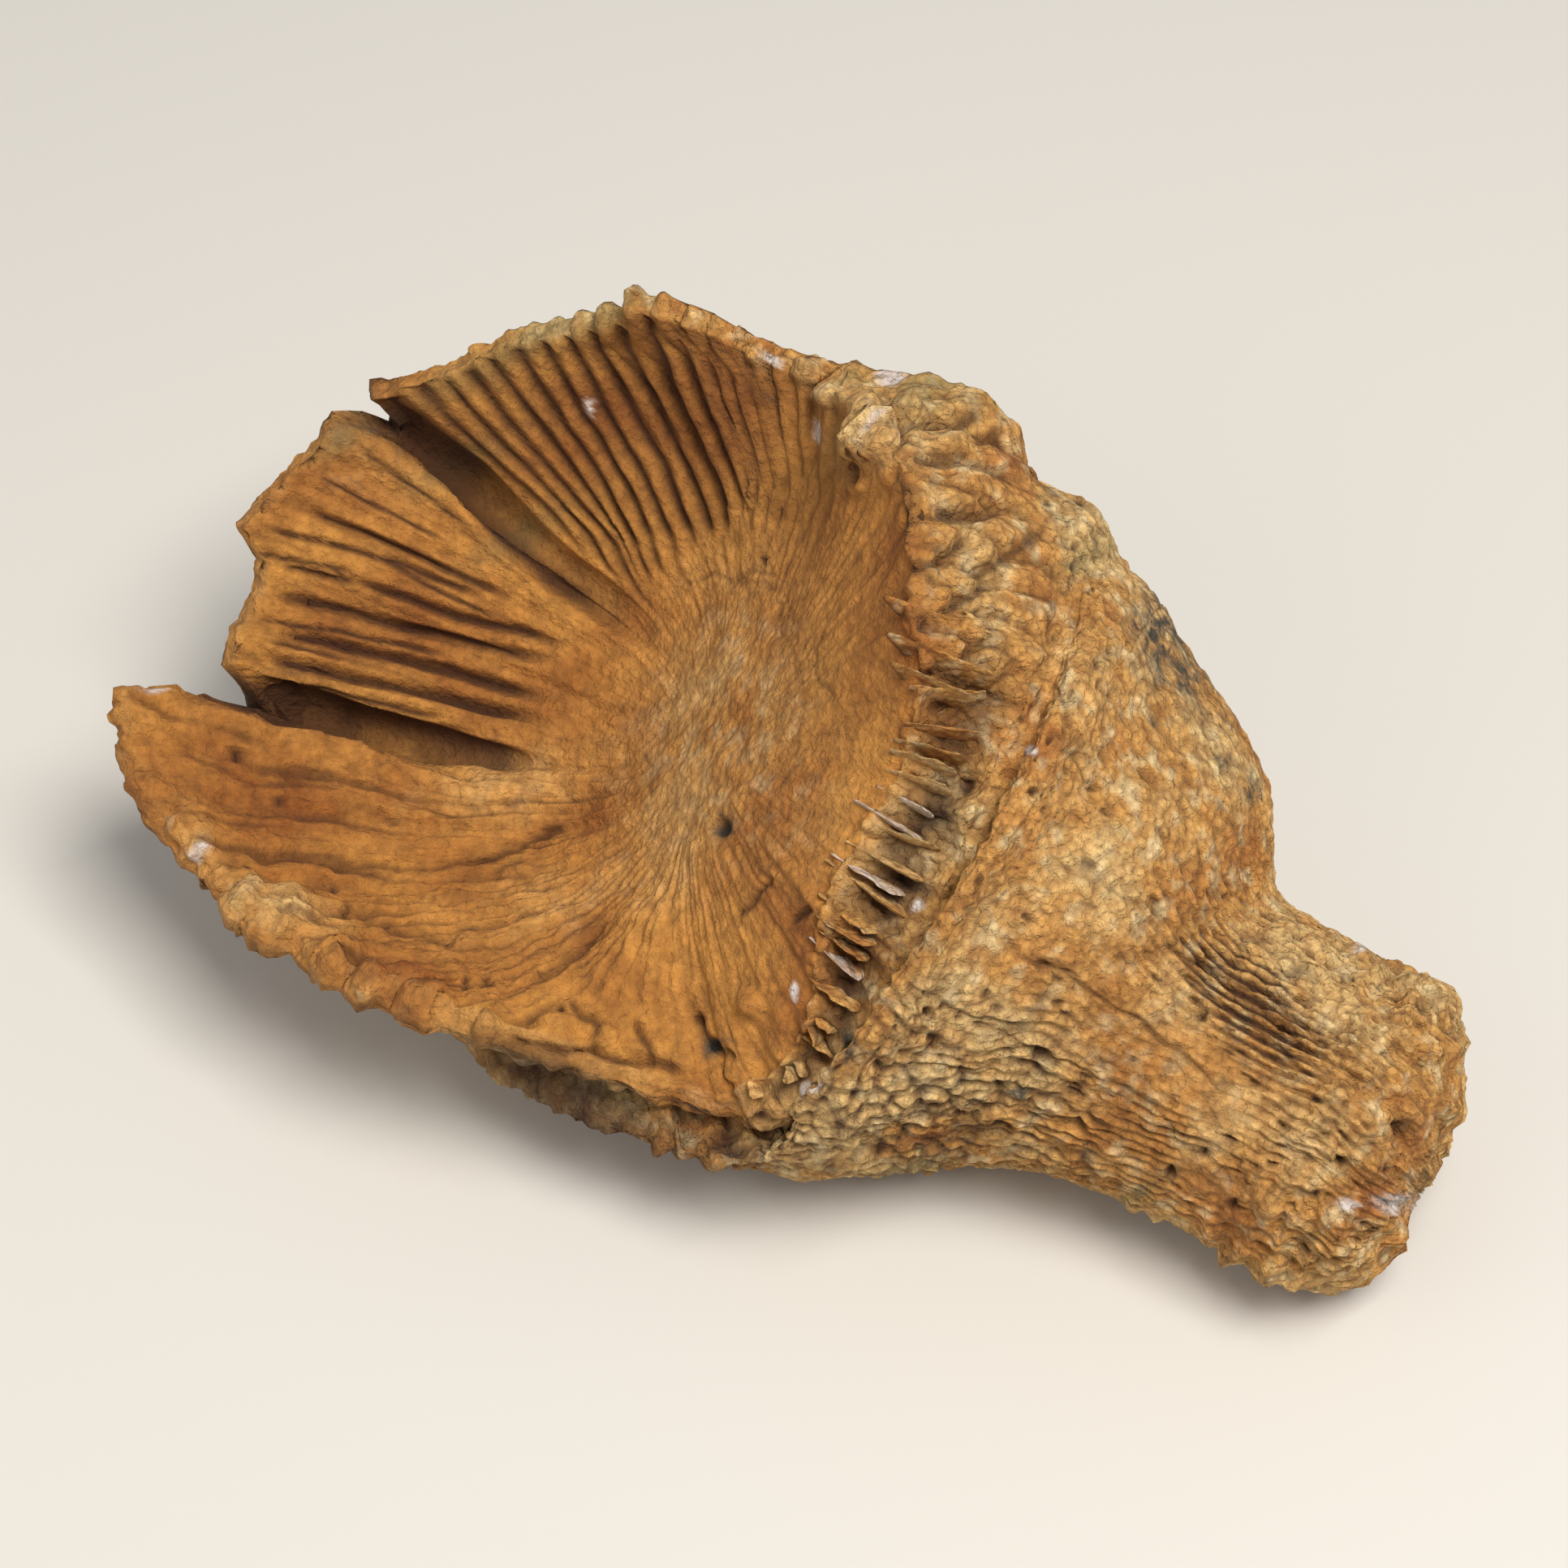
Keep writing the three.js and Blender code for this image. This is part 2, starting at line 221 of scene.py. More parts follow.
# The spine: a smooth curve through the stations. Place 0 is the cup floor, and the foot is negative.
def makeSpine(samples=200):
    rows = np.array(body["stations"])
    rows = np.vstack([2 * rows[0] - rows[1], rows, 2 * rows[-1] - rows[-2]])
    t = np.linspace(0, len(body["stations"]) - 1, samples)
    i = np.minimum(t.astype(int), len(body["stations"]) - 2)
    f = (t - i)[:, None]
    a, b, c, d = rows[i], rows[i + 1], rows[i + 2], rows[i + 3]
    v = 0.5 * (2 * b + (c - a) * f + (2 * a - 5 * b + 4 * c - d) * f ** 2
               + (3 * b - a - 3 * c + d) * f ** 3)
    step = np.linalg.norm(np.diff(v[:, :3], axis=0), axis=1)
    place = np.concatenate([[0], np.cumsum(step)])
    place -= place[-1]
    way = np.vstack([v[1:2, :3] - v[:1, :3], v[2:, :3] - v[:-2, :3], v[-1:, :3] - v[-2:-1, :3]])
    turn = rise(1 + place / body["turnLength"])[:, None]
    axis = unit(unit(way) * (1 - turn) + unit(np.array(body["cupAxis"])) * turn)
    up, far = square(axis)
    return {"place": place, "centre": v[:, :3], "radius": v[:, 3], "up": up, "far": far}


spine = makeSpine()
spineStart = spine["place"][0]
cupAxis = unit(np.array(body["cupAxis"]))
cupUp, cupFar = square(cupAxis)
floorPoint = np.array(body["floorCentre"])
centring = np.array(body["centring"])      # moves all of it so that its box is centred, as the CAD's is


# Value of the spine at a place, straight between its samples
def spineAt(place, name):
    rows = spine[name]
    if rows.ndim == 1:
        return np.interp(place, spine["place"], rows)
    return np.stack([np.interp(place, spine["place"], rows[:, k]) for k in range(3)], axis=-1)


# Point in the cup's own directions: floor centre + height along the axis + radius at an azimuth
def cupPoint(radius, azimuth, height):
    a = np.radians(azimuth)[..., None]
    r = np.asarray(radius)[..., None]
    return floorPoint + np.asarray(height)[..., None] * cupAxis + r * (np.cos(a) * cupFar + np.sin(a) * cupUp)


# Place of a point on the picture: pinhole camera, in pixels from the top left corner
def picture(points):
    p = points - np.array(view["target"])
    e = math.radians(view["elevation"])
    side = p[..., 0]
    high = math.sin(e) * p[..., 1] + math.cos(e) * p[..., 2]
    near = -math.cos(e) * p[..., 1] + math.sin(e) * p[..., 2]
    k = view["lens"] / view["sensor"] * view["picture"] / (view["distance"] - near)
    return view["picture"] / 2 + side * k, view["picture"] / 2 - high * k


tilt = math.radians(view["elevation"])
toCamera = np.array([0.0, -math.cos(tilt), math.sin(tilt)])

# Crests of the upper lobe's plates, each from the rim inwards, in picture pixels
crests = [
    [(535, 467), (564, 506), (596, 544), (640, 585), (700, 640)],
    [(567, 473), (592, 504), (614, 526), (634, 548), (658, 573), (677, 597), (705, 627), (735, 655)],
    [(592, 449), (618, 488), (640, 518), (664, 548), (687, 573), (713, 605), (737, 635), (765, 668)],
    [(626, 449), (640, 471), (658, 496), (679, 524), (699, 552), (721, 583), (742, 616), (766, 655)],
    [(654, 425), (670, 457), (685, 484), (705, 520), (724, 544), (747, 577), (764, 605), (787, 659)],
    [(685, 415), (705, 461), (726, 503), (742, 525), (761, 560), (783, 593), (794, 617), (813, 664)],
    [(714, 392), (719, 426), (735, 451), (750, 482), (764, 513), (780, 546), (797, 567), (811, 600),
     (839, 660)],
    [(749, 395), (753, 430), (768, 454), (787, 485), (804, 525), (820, 553), (834, 577), (844, 602),
     (865, 664)],
    [(778, 381), (785, 414), (794, 440), (806, 466), (823, 494), (837, 527), (851, 558), (865, 586),
     (886, 645)],
    [(815, 381), (820, 416), (832, 442), (839, 468), (853, 501), (868, 527), (882, 558), (896, 588),
     (908, 617)],
    [(851, 385), (851, 421), (865, 451), (875, 477), (886, 501), (900, 540), (912, 580), (922, 615)],
    [(880, 400), (882, 430), (890, 460), (898, 500), (912, 545), (925, 590)],
    [(905, 415), (906, 440), (912, 470), (920, 510), (930, 550), (940, 595)],
]

# Dark slits between the plates of the left lobe: picture pixels, then half width and depth
slits = [
    ([(382, 630), (470, 664), (540, 697), (608, 728), (640, 745)], 4.4, 0.6),
    ([(327, 650), (400, 670), (489, 694), (560, 722), (605, 743)], 4.0, 0.4),
    ([(350, 696), (382, 707), (446, 717)], 4.0, 0.4),
    ([(440, 716), (510, 739), (568, 762), (648, 778), (700, 800)], 5.5, 0.7),
    ([(342, 734), (434, 755), (500, 775), (574, 792), (694, 818)], 6.0, 0.85),
    ([(350, 779), (440, 799), (501, 811), (570, 831), (642, 853), (690, 866)], 6.5, 0.9),
    ([(330, 812), (430, 834), (525, 853), (600, 872), (679, 890)], 7.0, 0.9),
    ([(310, 680), (400, 698), (440, 704)], 3.0, 0.25),
    ([(320, 762), (420, 779), (500, 795), (560, 812)], 3.2, 0.3),
    ([(440, 650), (520, 688), (570, 716)], 3.0, 0.25),
    ([(318, 838), (400, 852), (470, 868), (560, 890)], 4.0, 0.4),
    ([(470, 690), (560, 738), (620, 765)], 3.0, 0.25), ([(330, 790), (380, 800), (430, 815)], 2.6, 0.2),
    ([(450, 560), (520, 606), (590, 660)], 2.6, 0.12), ([(400, 590), (480, 632), (560, 672)], 2.6, 0.12),
]


# Distance on the picture from each point to a broken line, how far along the line (0 to 1),
# and the side: 1 to the line's left as it runs, -1 to its right
def lineDistance(x, y, line):
    pts = np.array(line, float)
    lengths = np.linalg.norm(np.diff(pts, axis=0), axis=1)
    total = lengths.sum()
    best = np.full(x.shape, 1e6)
    where = np.zeros(x.shape)
    side = np.zeros(x.shape)
    run = 0.0
    for a, b, length in zip(pts[:-1], pts[1:], lengths):
        d = (b - a) / length
        t = np.clip((x - a[0]) * d[0] + (y - a[1]) * d[1], 0, length)
        dist = np.hypot(x - a[0] - t * d[0], y - a[1] - t * d[1])
        nearer = dist < best
        best = np.where(nearer, dist, best)
        where = np.where(nearer, (run + t) / total, where)
        side = np.where(nearer, np.sign(d[1] * (x - a[0]) - d[0] * (y - a[1])), side)
        run += length
    return best, where, side


# Round holes: picture pixels, radius and depth in millimetres
holes = [
    (885, 1018, 11, 1.0), (1485, 1250, 7, 0.8), (1580, 1265, 7, 0.8), (1655, 1435, 9, 1.0),
    (1440, 1445, 8, 0.8), (1232, 1338, 9, 0.9), (1195, 966, 15, 1.5), (292, 930, 11, 0.8),
    (415, 1070, 6, 0.4), (600, 1212, 7, 0.6), (880, 1288, 9, 0.7), (1745, 1245, 8, 0.7),
    (1330, 1385, 7, 0.7), (1520, 1480, 8, 0.7), (1722, 1386, 9, 0.9), (1140, 1248, 8, 0.8),
    (1560, 1240, 5, 0.5), (1600, 1290, 5, 0.5), (1395, 1305, 5, 0.4), (940, 690, 5, 0.3),
    (428, 1120, 7, 0.4), (410, 1092, 6, 0.3), (341, 988, 7, 0.4), (425, 898, 11, 1.2), (575, 1215, 6, 0.4),
    (690, 1240, 6, 0.4), (860, 1255, 8, 0.6), (1272, 975, 6, 0.5), (1345, 972, 5, 0.4),
    (1705, 1440, 6, 0.6), (1620, 1470, 7, 0.6), (1480, 1420, 6, 0.6),
]

# Knobs: picture pixels, radius, height in millimetres
knobs = [
    (925, 436, 15, 0.5), (998, 456, 17, 0.75), (1022, 486, 16, 0.5), (1072, 540, 36, 1.7),
    (1063, 494, 16, 0.5), (1050, 470, 14, 0.5), (975, 446, 9, 0.3), (1115, 505, 18, 0.4),
    (328, 1146, 34, 1.1), (406, 1182, 26, 1.2), (455, 1214, 22, 0.9), (522, 1238, 30, 0.8),
    (366, 1120, 26, 0.5), (290, 1118, 20, 0.7), (262, 1080, 18, 0.6), (220, 1020, 18, 0.5),
    (188, 960, 20, 0.5), (180, 892, 18, 0.5), (205, 862, 14, 0.4), (565, 1195, 24, 0.4),
    (590, 1262, 20, 0.5), (925, 1232, 18, 0.8), (962, 1345, 26, 0.9), (1010, 1322, 20, 0.5),
    (1748, 1232, 26, 0.6), (1760, 1300, 20, 0.5), (1672, 1348, 58, 0.8), (1716, 1330, 26, 0.4),
    (1665, 1290, 14, 0.5), (1560, 1480, 24, 0.5), (1600, 1440, 18, 0.4), (1325, 658, 44, 0.5),
    (1290, 745, 16, 0.5), (1268, 805, 20, 0.4), (1262, 855, 18, 0.4), (245, 1045, 20, 0.5),
    (215, 980, 14, 0.3), (300, 1105, 18, 0.4), (640, 1310, 26, 0.5), (730, 1370, 26, 0.4),
    (820, 1420, 28, 0.4), (690, 1262, 18, 0.5), (742, 1276, 18, 0.5), (795, 1288, 18, 0.5),
    (842, 1300, 20, 0.6), (890, 1318, 18, 0.5), (680, 1345, 22, 0.4), (770, 1395, 22, 0.4),
    (880, 1440, 22, 0.4), (1158, 730, 38, 0.45), (1196, 806, 42, 0.45), (1160, 668, 30, 0.4),
    (1240, 648, 34, 0.4), (1190, 600, 36, 0.45), (1232, 562, 30, 0.5), (1180, 548, 24, 0.5),
    (1140, 470, 34, 0.5), (1200, 486, 28, 0.5), (1240, 745, 24, 0.35), (1205, 880, 26, 0.4),
    (1055, 600, 16, 0.5), (1100, 592, 20, 0.5), (1390, 1492, 20, 0.6), (1425, 1500, 16, 0.5),
    (1520, 1548, 18, 0.6), (1572, 1560, 20, 0.8), (1622, 1556, 18, 0.7), (1672, 1536, 18, 0.6),
    (1722, 1520, 20, 0.5), (1640, 1500, 24, 0.5), (1500, 1510, 16, 0.5), (1545, 1510, 16, 0.5),
    (1590, 1500, 14, 0.4), (1680, 1210, 16, 0.4), (1724, 1200, 16, 0.4), (1590, 1150, 14, 0.4),
    (1620, 1162, 14, 0.4), (1785, 1290, 20, 0.5), (1780, 1360, 22, 0.5), (1735, 1385, 26, 0.5),
    (1700, 1440, 18, 0.4), (1560, 1195, 13, 0.35), (1588, 1180, 13, 0.35), (1612, 1196, 13, 0.35),
    (1640, 1182, 13, 0.35), (1576, 1216, 12, 0.3), (1536, 1182, 12, 0.3), (1604, 1222, 12, 0.3),
    (1634, 1212, 12, 0.3), (1105, 1365, 22, 0.4), (1045, 1390, 18, 0.4), (1700, 1490, 22, 0.5),
    (1640, 1530, 20, 0.5), (1575, 1545, 18, 0.5),
]

# Soft dents in the shoulder under the far rim: picture pixels, radius, depth
dents = [(1305, 560, 46, 1.9), (1250, 700, 30, 0.5)]

# Cracks, gashes and fissures: picture pixels, half width, depth
cracks = [
    ([(1112, 590), (1120, 622), (1112, 652)], 7, 0.8), ([(1165, 628), (1195, 640), (1228, 632)], 8, 0.9),
    ([(1135, 562), (1190, 572), (1242, 592)], 6, 0.6), ([(1205, 706), (1240, 688), (1276, 660)], 8, 0.9),
    ([(1132, 775), (1180, 742), (1222, 716)], 7, 0.8), ([(1140, 838), (1185, 815), (1225, 778)], 7, 0.8),
    ([(1152, 880), (1200, 862), (1240, 832)], 7, 0.8), ([(1130, 700), (1160, 690), (1190, 668)], 7, 0.7),
    ([(1095, 500), (1112, 530), (1108, 560)], 6, 0.8), ([(1150, 520), (1176, 522), (1200, 512)], 9, 1.1),
    ([(1212, 540), (1226, 534), (1238, 548)], 9, 1.1), ([(1036, 520), (1040, 560), (1056, 592)], 6, 0.8),
    ([(640, 1280), (700, 1296), (760, 1304), (830, 1318)], 6, 0.5),
    ([(860, 1262), (872, 1288), (900, 1300)], 6, 0.6), ([(790, 1262), (800, 1290), (796, 1312)], 5, 0.5),
    ([(700, 1240), (730, 1268), (728, 1296)], 5, 0.4),
    ([(845, 722), (880, 706), (912, 712), (945, 722), (985, 762)], 2.6, 0.12),
    ([(905, 715), (928, 704), (958, 712)], 2.6, 0.1), ([(955, 745), (972, 800), (985, 842)], 2.4, 0.1),
    ([(1020, 775), (1002, 820), (1024, 862)], 2.6, 0.14),
    ([(945, 1085), (925, 1110), (905, 1128)], 4.0, 0.35), ([(993, 1122), (975, 1135)], 6.0, 0.5),
    ([(575, 1066), (625, 1046), (688, 1018)], 4.5, 0.55), ([(600, 1078), (640, 1062)], 3.0, 0.2),
    ([(408, 908), (440, 882)], 4.5, 0.6), ([(430, 1128), (500, 1150), (560, 1160)], 3.0, 0.3),
    ([(520, 990), (560, 1004), (610, 1000)], 3.0, 0.25),
    ([(740, 1140), (700, 1180), (665, 1200)], 3.5, 0.3),
    ([(1305, 850), (1318, 900), (1322, 925)], 2.6, 0.12),
    ([(1308, 925), (1335, 960), (1352, 985)], 2.6, 0.12),
    ([(1470, 860), (1500, 930), (1515, 935)], 2.6, 0.12),
    ([(1360, 1090), (1440, 1130), (1500, 1185)], 3.0, 0.15),
    ([(1240, 1165), (1330, 1215), (1420, 1275), (1500, 1345)], 3.4, 0.22),
    ([(1210, 1260), (1300, 1300), (1390, 1345)], 3.4, 0.25),
    ([(1120, 1215), (1180, 1240), (1250, 1262)], 3.6, 0.3),
    ([(1440, 1160), (1500, 1205), (1560, 1250), (1625, 1300)], 4.0, 0.4),
    ([(1460, 1205), (1530, 1255), (1600, 1310)], 3.6, 0.35),
    ([(1480, 1190), (1560, 1232), (1640, 1290)], 3.2, 0.3),
    ([(1395, 1350), (1460, 1395), (1530, 1430)], 3.4, 0.25),
]

# Patches: picture pixels and radii. Shades, warms and pales go on with a turn in degrees and a strength.
# Shades darken, warms take the cup's colour, and pales take it away.
whites = [
    (1080, 528, 3, 9), (1718, 1478, 34, 14), (1130, 1118, 9, 7), (1000, 1337, 13, 10), (246, 1052, 6, 10),
    (726, 502, 5, 14), (1098, 468, 22, 9), (955, 446, 9, 6), (1675, 1172, 12, 5), (1008, 532, 5, 16),
    (978, 1222, 7, 14), (1270, 925, 8, 7), (190, 855, 10, 4), (1660, 1480, 14, 5),
]
# Olive patches, picture pixels and radii: a painted green reflection
greenReflections = [
    (1085, 1462, 110, 16), (1335, 690, 46, 16), (620, 440, 130, 20), (1140, 480, 50, 26),
    (1053, 468, 22, 10), (560, 575, 60, 22), (640, 660, 60, 22), (740, 395, 60, 12), (420, 540, 40, 18),
    (1400, 1470, 40, 10),
]
shades = [
    (705, 1352, 150, 44, 28, 1.0), (850, 1418, 110, 36, 20, 0.6), (1480, 1425, 130, 34, 24, 0.22),
    (960, 600, 70, 110, -15, 0.24), (1120, 1170, 30, 30, 0, 0.4), (1150, 980, 30, 60, 20, 0.3),
]
warms = [
    (1470, 1320, 190, 70, 30, 0.5), (1560, 1330, 60, 26, 30, 0.5), (1450, 1440, 130, 30, 24, 0.6),
    (1390, 1180, 80, 24, 36, 0.3), (1290, 1230, 120, 24, 30, 0.3),
]
pales = [
    (1072, 540, 38, 38, 0, 0.9), (998, 456, 16, 18, 0, 0.8), (1022, 486, 14, 16, 0, 0.8),
    (925, 436, 18, 16, 0, 0.8), (345, 1118, 70, 18, 18, 0.8), (230, 1030, 20, 50, -30, 0.5),
    (455, 1216, 24, 12, 0, 0.8), (900, 860, 90, 150, 10, 0.35), (620, 965, 110, 40, -8, 0.35),
    (440, 560, 60, 40, 30, 0.3), (700, 1110, 130, 40, -10, 0.25), (960, 1000, 60, 80, 0, 0.3),
]
stains = [
    (1432, 770, 40, 60), (1468, 830, 22, 40), (1318, 773, 10, 9), (1253, 1352, 14, 9), (1512, 938, 16, 9),
    (1540, 975, 10, 16), (1268, 1345, 9, 6), (880, 1290, 16, 12), (885, 1018, 15, 14), (1046, 1290, 12, 24),
]

# The edge of the left lobe that stands over the gutter, and the valley between the two left lobes
gutterLine = [(405, 508), (455, 532), (500, 556), (560, 608), (612, 668), (660, 716), (725, 762), (800, 808)]
valleyLine = [(352, 872), (430, 889), (525, 911), (600, 928), (662, 940)]


# Soft spot on the picture: 1 in the middle of an ellipse, fading out at its edge
def spot(x, y, centre, radii, turn=0.0, power=3):
    a = math.radians(turn)
    dx, dy = x - centre[0], y - centre[1]
    lengthways, across = dx * math.cos(a) + dy * math.sin(a), dy * math.cos(a) - dx * math.sin(a)
    return np.exp(-np.hypot(lengthways / radii[0], across / radii[1]) ** power)


# The fan of plates: its middle in picture pixels, and the angle between plates past the traced ones
fan = {"middle": (870.0, 920.0), "stepBefore": 4.0, "stepAfter": 3.3}


# Count of plate crests passed: whole numbers lie on the traced crests, measured as angles about the middle
def crestCount(x, y):
    ox, oy = fan["middle"]
    angle = np.degrees(np.arctan2(-(y - oy), x - ox))
    far = np.hypot(x - ox, y - oy)
    places = []
    for line in crests:
        pts = np.array(line, float)
        a = np.degrees(np.arctan2(-(pts[:, 1] - oy), pts[:, 0] - ox))
        r = np.hypot(pts[:, 0] - ox, pts[:, 1] - oy)
        order = np.argsort(r)
        places.append(np.interp(far, r[order], a[order]))
    count = np.zeros(x.shape)
    for a, b in zip(places[:-1], places[1:]):
        count += np.clip((a - angle) / np.maximum(a - b, 0.3), 0, 1)
    before = np.minimum(0, (places[0] - angle) / fan["stepBefore"])
    after = np.maximum(0, (places[-1] - angle) / fan["stepAfter"])
    return count + before + after


# Knobs on the ends of the plates: the size of a cosine of the crest count, flattened by a power
def knobCrest(count):
    return np.abs(np.cos(np.pi * count)) ** 0.8


columns = np.linspace(-171, 189, grid["columns"], endpoint=False)


# Where the lobes and the break lie round the cup: azimuths, each with the width of its smooth step
lobeEnds = {"upper": (25, 4, 88, 6), "left": (-20, 3, 19, 3), "lower": (-132, 8, -30, 8),
            "broken": (84, 8, -140, 10), "unbroken": (-134, 10, 96, 10)}
# Heights in millimetres. A lobe's row: lift, coarse height, size and seed, fine height, size and seed
ragged = {
    "knobLeast": 0.22, "knobMore": 1.0, "outer": 0.55, "inner": 0.35, "radius": 0.6,
    "left": (0.0, 0.26, 1.8, 11, 0.16, 0.7, 17),
    "lower": (0.3, 1.1, 3.0, 12, 0.45, 1.2, 19),
    "upper": (0.0, 0.25, 2.2, 13, 0.16, 0.8, 18),
}


# Rim radii and heights round the cup: the rows, then knobs and rough noise for each lobe and the break
def makeRim(azimuth):
    rows = np.array(rimRows + [(rimRows[0][0] + 360,) + rimRows[0][1:]], float)
    outerRadius, outerHeight, innerRadius, innerHeight = [
        np.interp(azimuth, rows[:, 0], rows[:, k]) for k in (1, 2, 3, 4)]
    flat = cupPoint(innerRadius, azimuth, innerHeight) + centring
    broken = beyond(azimuth, *lobeEnds["broken"])
    knob = knobCrest(crestCount(*picture(flat))) - 0.6
    size = ragged["knobLeast"] + ragged["knobMore"] * rise((azimuth - 50) / 14)
    ring = np.stack([np.cos(np.radians(azimuth)), np.sin(np.radians(azimuth)), 0 * azimuth], -1) * 23
    change = between(azimuth, *lobeEnds["upper"]) * size * knob
    for name in ("left", "lower", "upper"):
        lift, high, coarse, seed, low, fine, otherSeed = ragged[name]
        jag = high * rough(ring, coarse, seed) + low * rough(ring, fine, otherSeed) + lift
        change = change + between(azimuth, *lobeEnds[name]) * jag
    outerHeight = outerHeight + change + broken * ragged["outer"] * rough(ring, 2.6, 14)
    innerHeight = innerHeight + change + broken * ragged["inner"] * rough(ring, 2.2, 15)
    innerRadius = innerRadius + broken * ragged["radius"] * rough(ring, 3.0, 16)
    return outerRadius, outerHeight, innerRadius, innerHeight


rim = makeRim(columns)


# Depth of the folds under the notches: a hump at each
def foldDepth(azimuth):
    return sum(depth * hump(azimuth, place, width) for place, width, depth in folds)


# Swell of the older flange and the folds, added to the radius
def extraRadius(azimuth, place):
    lip = along(lipHeights, azimuth)
    swell = 0.7 * hump(place, lip - 1.5, 1.2) - 0.9 * hump(place, lip + 0.9, 0.9)
    return hump(azimuth, -102, 24, 6) * swell + foldDepth(azimuth) * rise((place - 3) / 8)


# Body ring about the spine: centre + radius at the azimuth, moved up the cup's axis past the floor
def bodyPoint(azimuth, place):
    low = np.minimum(place, 0)
    a = np.radians(azimuth)[..., None]
    shaped = spineAt(low, "radius") + extraRadius(azimuth, place) \
        + hump(azimuth, 98, 34) * along(shoulder, place) + hump(azimuth, -38, 52) * along(pressed, place)
    return spineAt(low, "centre") + np.maximum(place, 0)[..., None] * cupAxis \
        + shaped[..., None] * (spineAt(low, "far") * np.cos(a) + spineAt(low, "up") * np.sin(a))


# Outer wall: body rings that turn into the rim's own radius and height over the reach below the rim
def outerPoint(azimuth, place, outerRadius, outerHeight):
    wall = bodyPoint(azimuth, place)
    layer = hump(azimuth, -100, 26, 6)
    plain = rise((place - outerHeight + body["rimReach"]) / body["rimReach"])
    stepped = rise((place - along(lipHeights, azimuth) + 0.8) / 0.8)
    endHeight = (bodyPoint(azimuth[-1:], outerHeight) - floorPoint) @ cupAxis
    height = (wall - floorPoint) @ cupAxis + (outerHeight - endHeight) * plain
    height = height * (1 - layer) + place * layer
    mix = (plain * (1 - layer) + stepped * layer)[..., None]
    return wall * (1 - mix) + cupPoint(outerRadius + extraRadius(azimuth, place), azimuth, height) * mix


# Broken edge: straight from the outer rim to the inner one
def bandPoint(azimuth, share, r):
    outerRadius, outerHeight, innerRadius, innerHeight = r
    fold = foldDepth(azimuth) * rise((outerHeight - 3) / 8)
    return cupPoint(outerRadius + (innerRadius - outerRadius) * share + fold, azimuth,
                    outerHeight + (innerHeight - outerHeight) * share)


# Inside of the cup: a quadratic curve from the rim to the flat floor, then straight to its middle.
# Gives the points and their radii.
def innerPoint(azimuth, share, r):
    innerRadius, innerHeight = r[2], r[3]
    wall = 1 - body["floorShare"]
    q = np.minimum(1, share / wall)
    flat = body["floorRadius"]
    bendRadius = flat + (innerRadius - flat) * body["wallCurve"]
    bendHeight = np.minimum(0.5, innerHeight * 0.3)
    radius = (1 - q) ** 2 * innerRadius + 2 * q * (1 - q) * bendRadius + q * q * flat
    height = (1 - q) ** 2 * innerHeight + 2 * q * (1 - q) * bendHeight
    radius = radius + foldDepth(azimuth) * rise((height - 3) / 8)
    radius = radius * np.where(share > wall, 1 - (share - wall) / body["floorShare"], 1)
    return cupPoint(radius, azimuth, height), radius


# The foot cap: rings from the pole out to the first station, an ellipse quarter in section
def capPoint(azimuth, turn):
    base = spine["centre"][0]
    pole = np.array(body["footPole"])
    a = np.radians(azimuth)[..., None]
    centre = base + (pole - base) * np.cos(turn)[..., None]
    radius = (spine["radius"][0] * np.sin(turn) ** 0.8)[..., None]
    return centre + radius * (spine["far"][0] * np.cos(a) + spine["up"][0] * np.sin(a))


# All rows of the surface, foot to floor middle, before any detail
def makeRows():
    g = grid
    az = columns[None, :]
    share = (np.arange(1, g["capRows"] + 1) / (g["capRows"] + 1))[:, None]
    cap = capPoint(az + 0 * share, share * np.pi / 2 + 0 * az)
    stemPlace = np.linspace(spineStart, g["stemEnd"], g["stemRows"], endpoint=False)[:, None] + 0 * az
    bodyShare = np.linspace(0, 1, g["bodyRows"])[:, None]
    bodyPlace = g["stemEnd"] + (rim[1][None, :] - g["stemEnd"]) * bodyShare
    place = np.vstack([stemPlace, bodyPlace])
    wall = outerPoint(az + 0 * place, place, rim[0][None, :], rim[1][None, :])
    bandShare = (np.arange(1, g["bandRows"] + 1) / g["bandRows"])[:, None]
    band = bandPoint(az + 0 * bandShare, bandShare + 0 * az, [v[None, :] for v in rim])
    cupShare = (np.arange(1, g["cupRows"] + 1) / (g["cupRows"] + 1))[:, None]
    cup, cupRadius = innerPoint(az + 0 * cupShare, cupShare + 0 * az, [v[None, :] for v in rim])
    rows = np.concatenate([cap, wall, band, cup]) + centring
    return rows, place, bandShare + 0 * az, cupShare + 0 * az, cupRadius


# Outward direction at each vertex of a ring stack, from the steps round it and along it
def outward(rows):
    sideways = np.roll(rows, -1, axis=1) - np.roll(rows, 1, axis=1)
    return unit(np.cross(np.gradient(rows, axis=0), sideways) + 1e-12)


print("coral: base surface")
rows, wallPlace, bandShare, cupShare, cupRadius = makeRows()
normals = outward(rows)
capEnd = grid["capRows"]
wallEnd = capEnd + wallPlace.shape[0]
bandEnd = wallEnd + grid["bandRows"]
allAz = np.broadcast_to(columns, rows.shape[:2])
px, py = picture(rows)
facing = rise((normals @ toCamera + 0.15) / 0.3)

# The break's outer corner bends softly: its normals are averaged along the rows
unbroken = between(columns, *lobeEnds["unbroken"])
softened = hump(np.arange(rows.shape[0])[:, None], wallEnd, 8, 4) * (1 - unbroken)
averaged = unit(sum(np.roll(normals, k, axis=0) for k in range(-6, 7)))
normals = unit(normals * (1 - softened[..., None]) + averaged * softened[..., None])

# Numbers for each vertex: relief is how far it moves out, in millimetres, and the others go from 0 to 1. Of
# the others, the first is painted shade in grooves, pits, slits and other recesses, and the last a painted
# green reflection.
relief, hollow, calcite, stain, inside, moss = [np.zeros(rows.shape[:2]) for _ in range(6)]

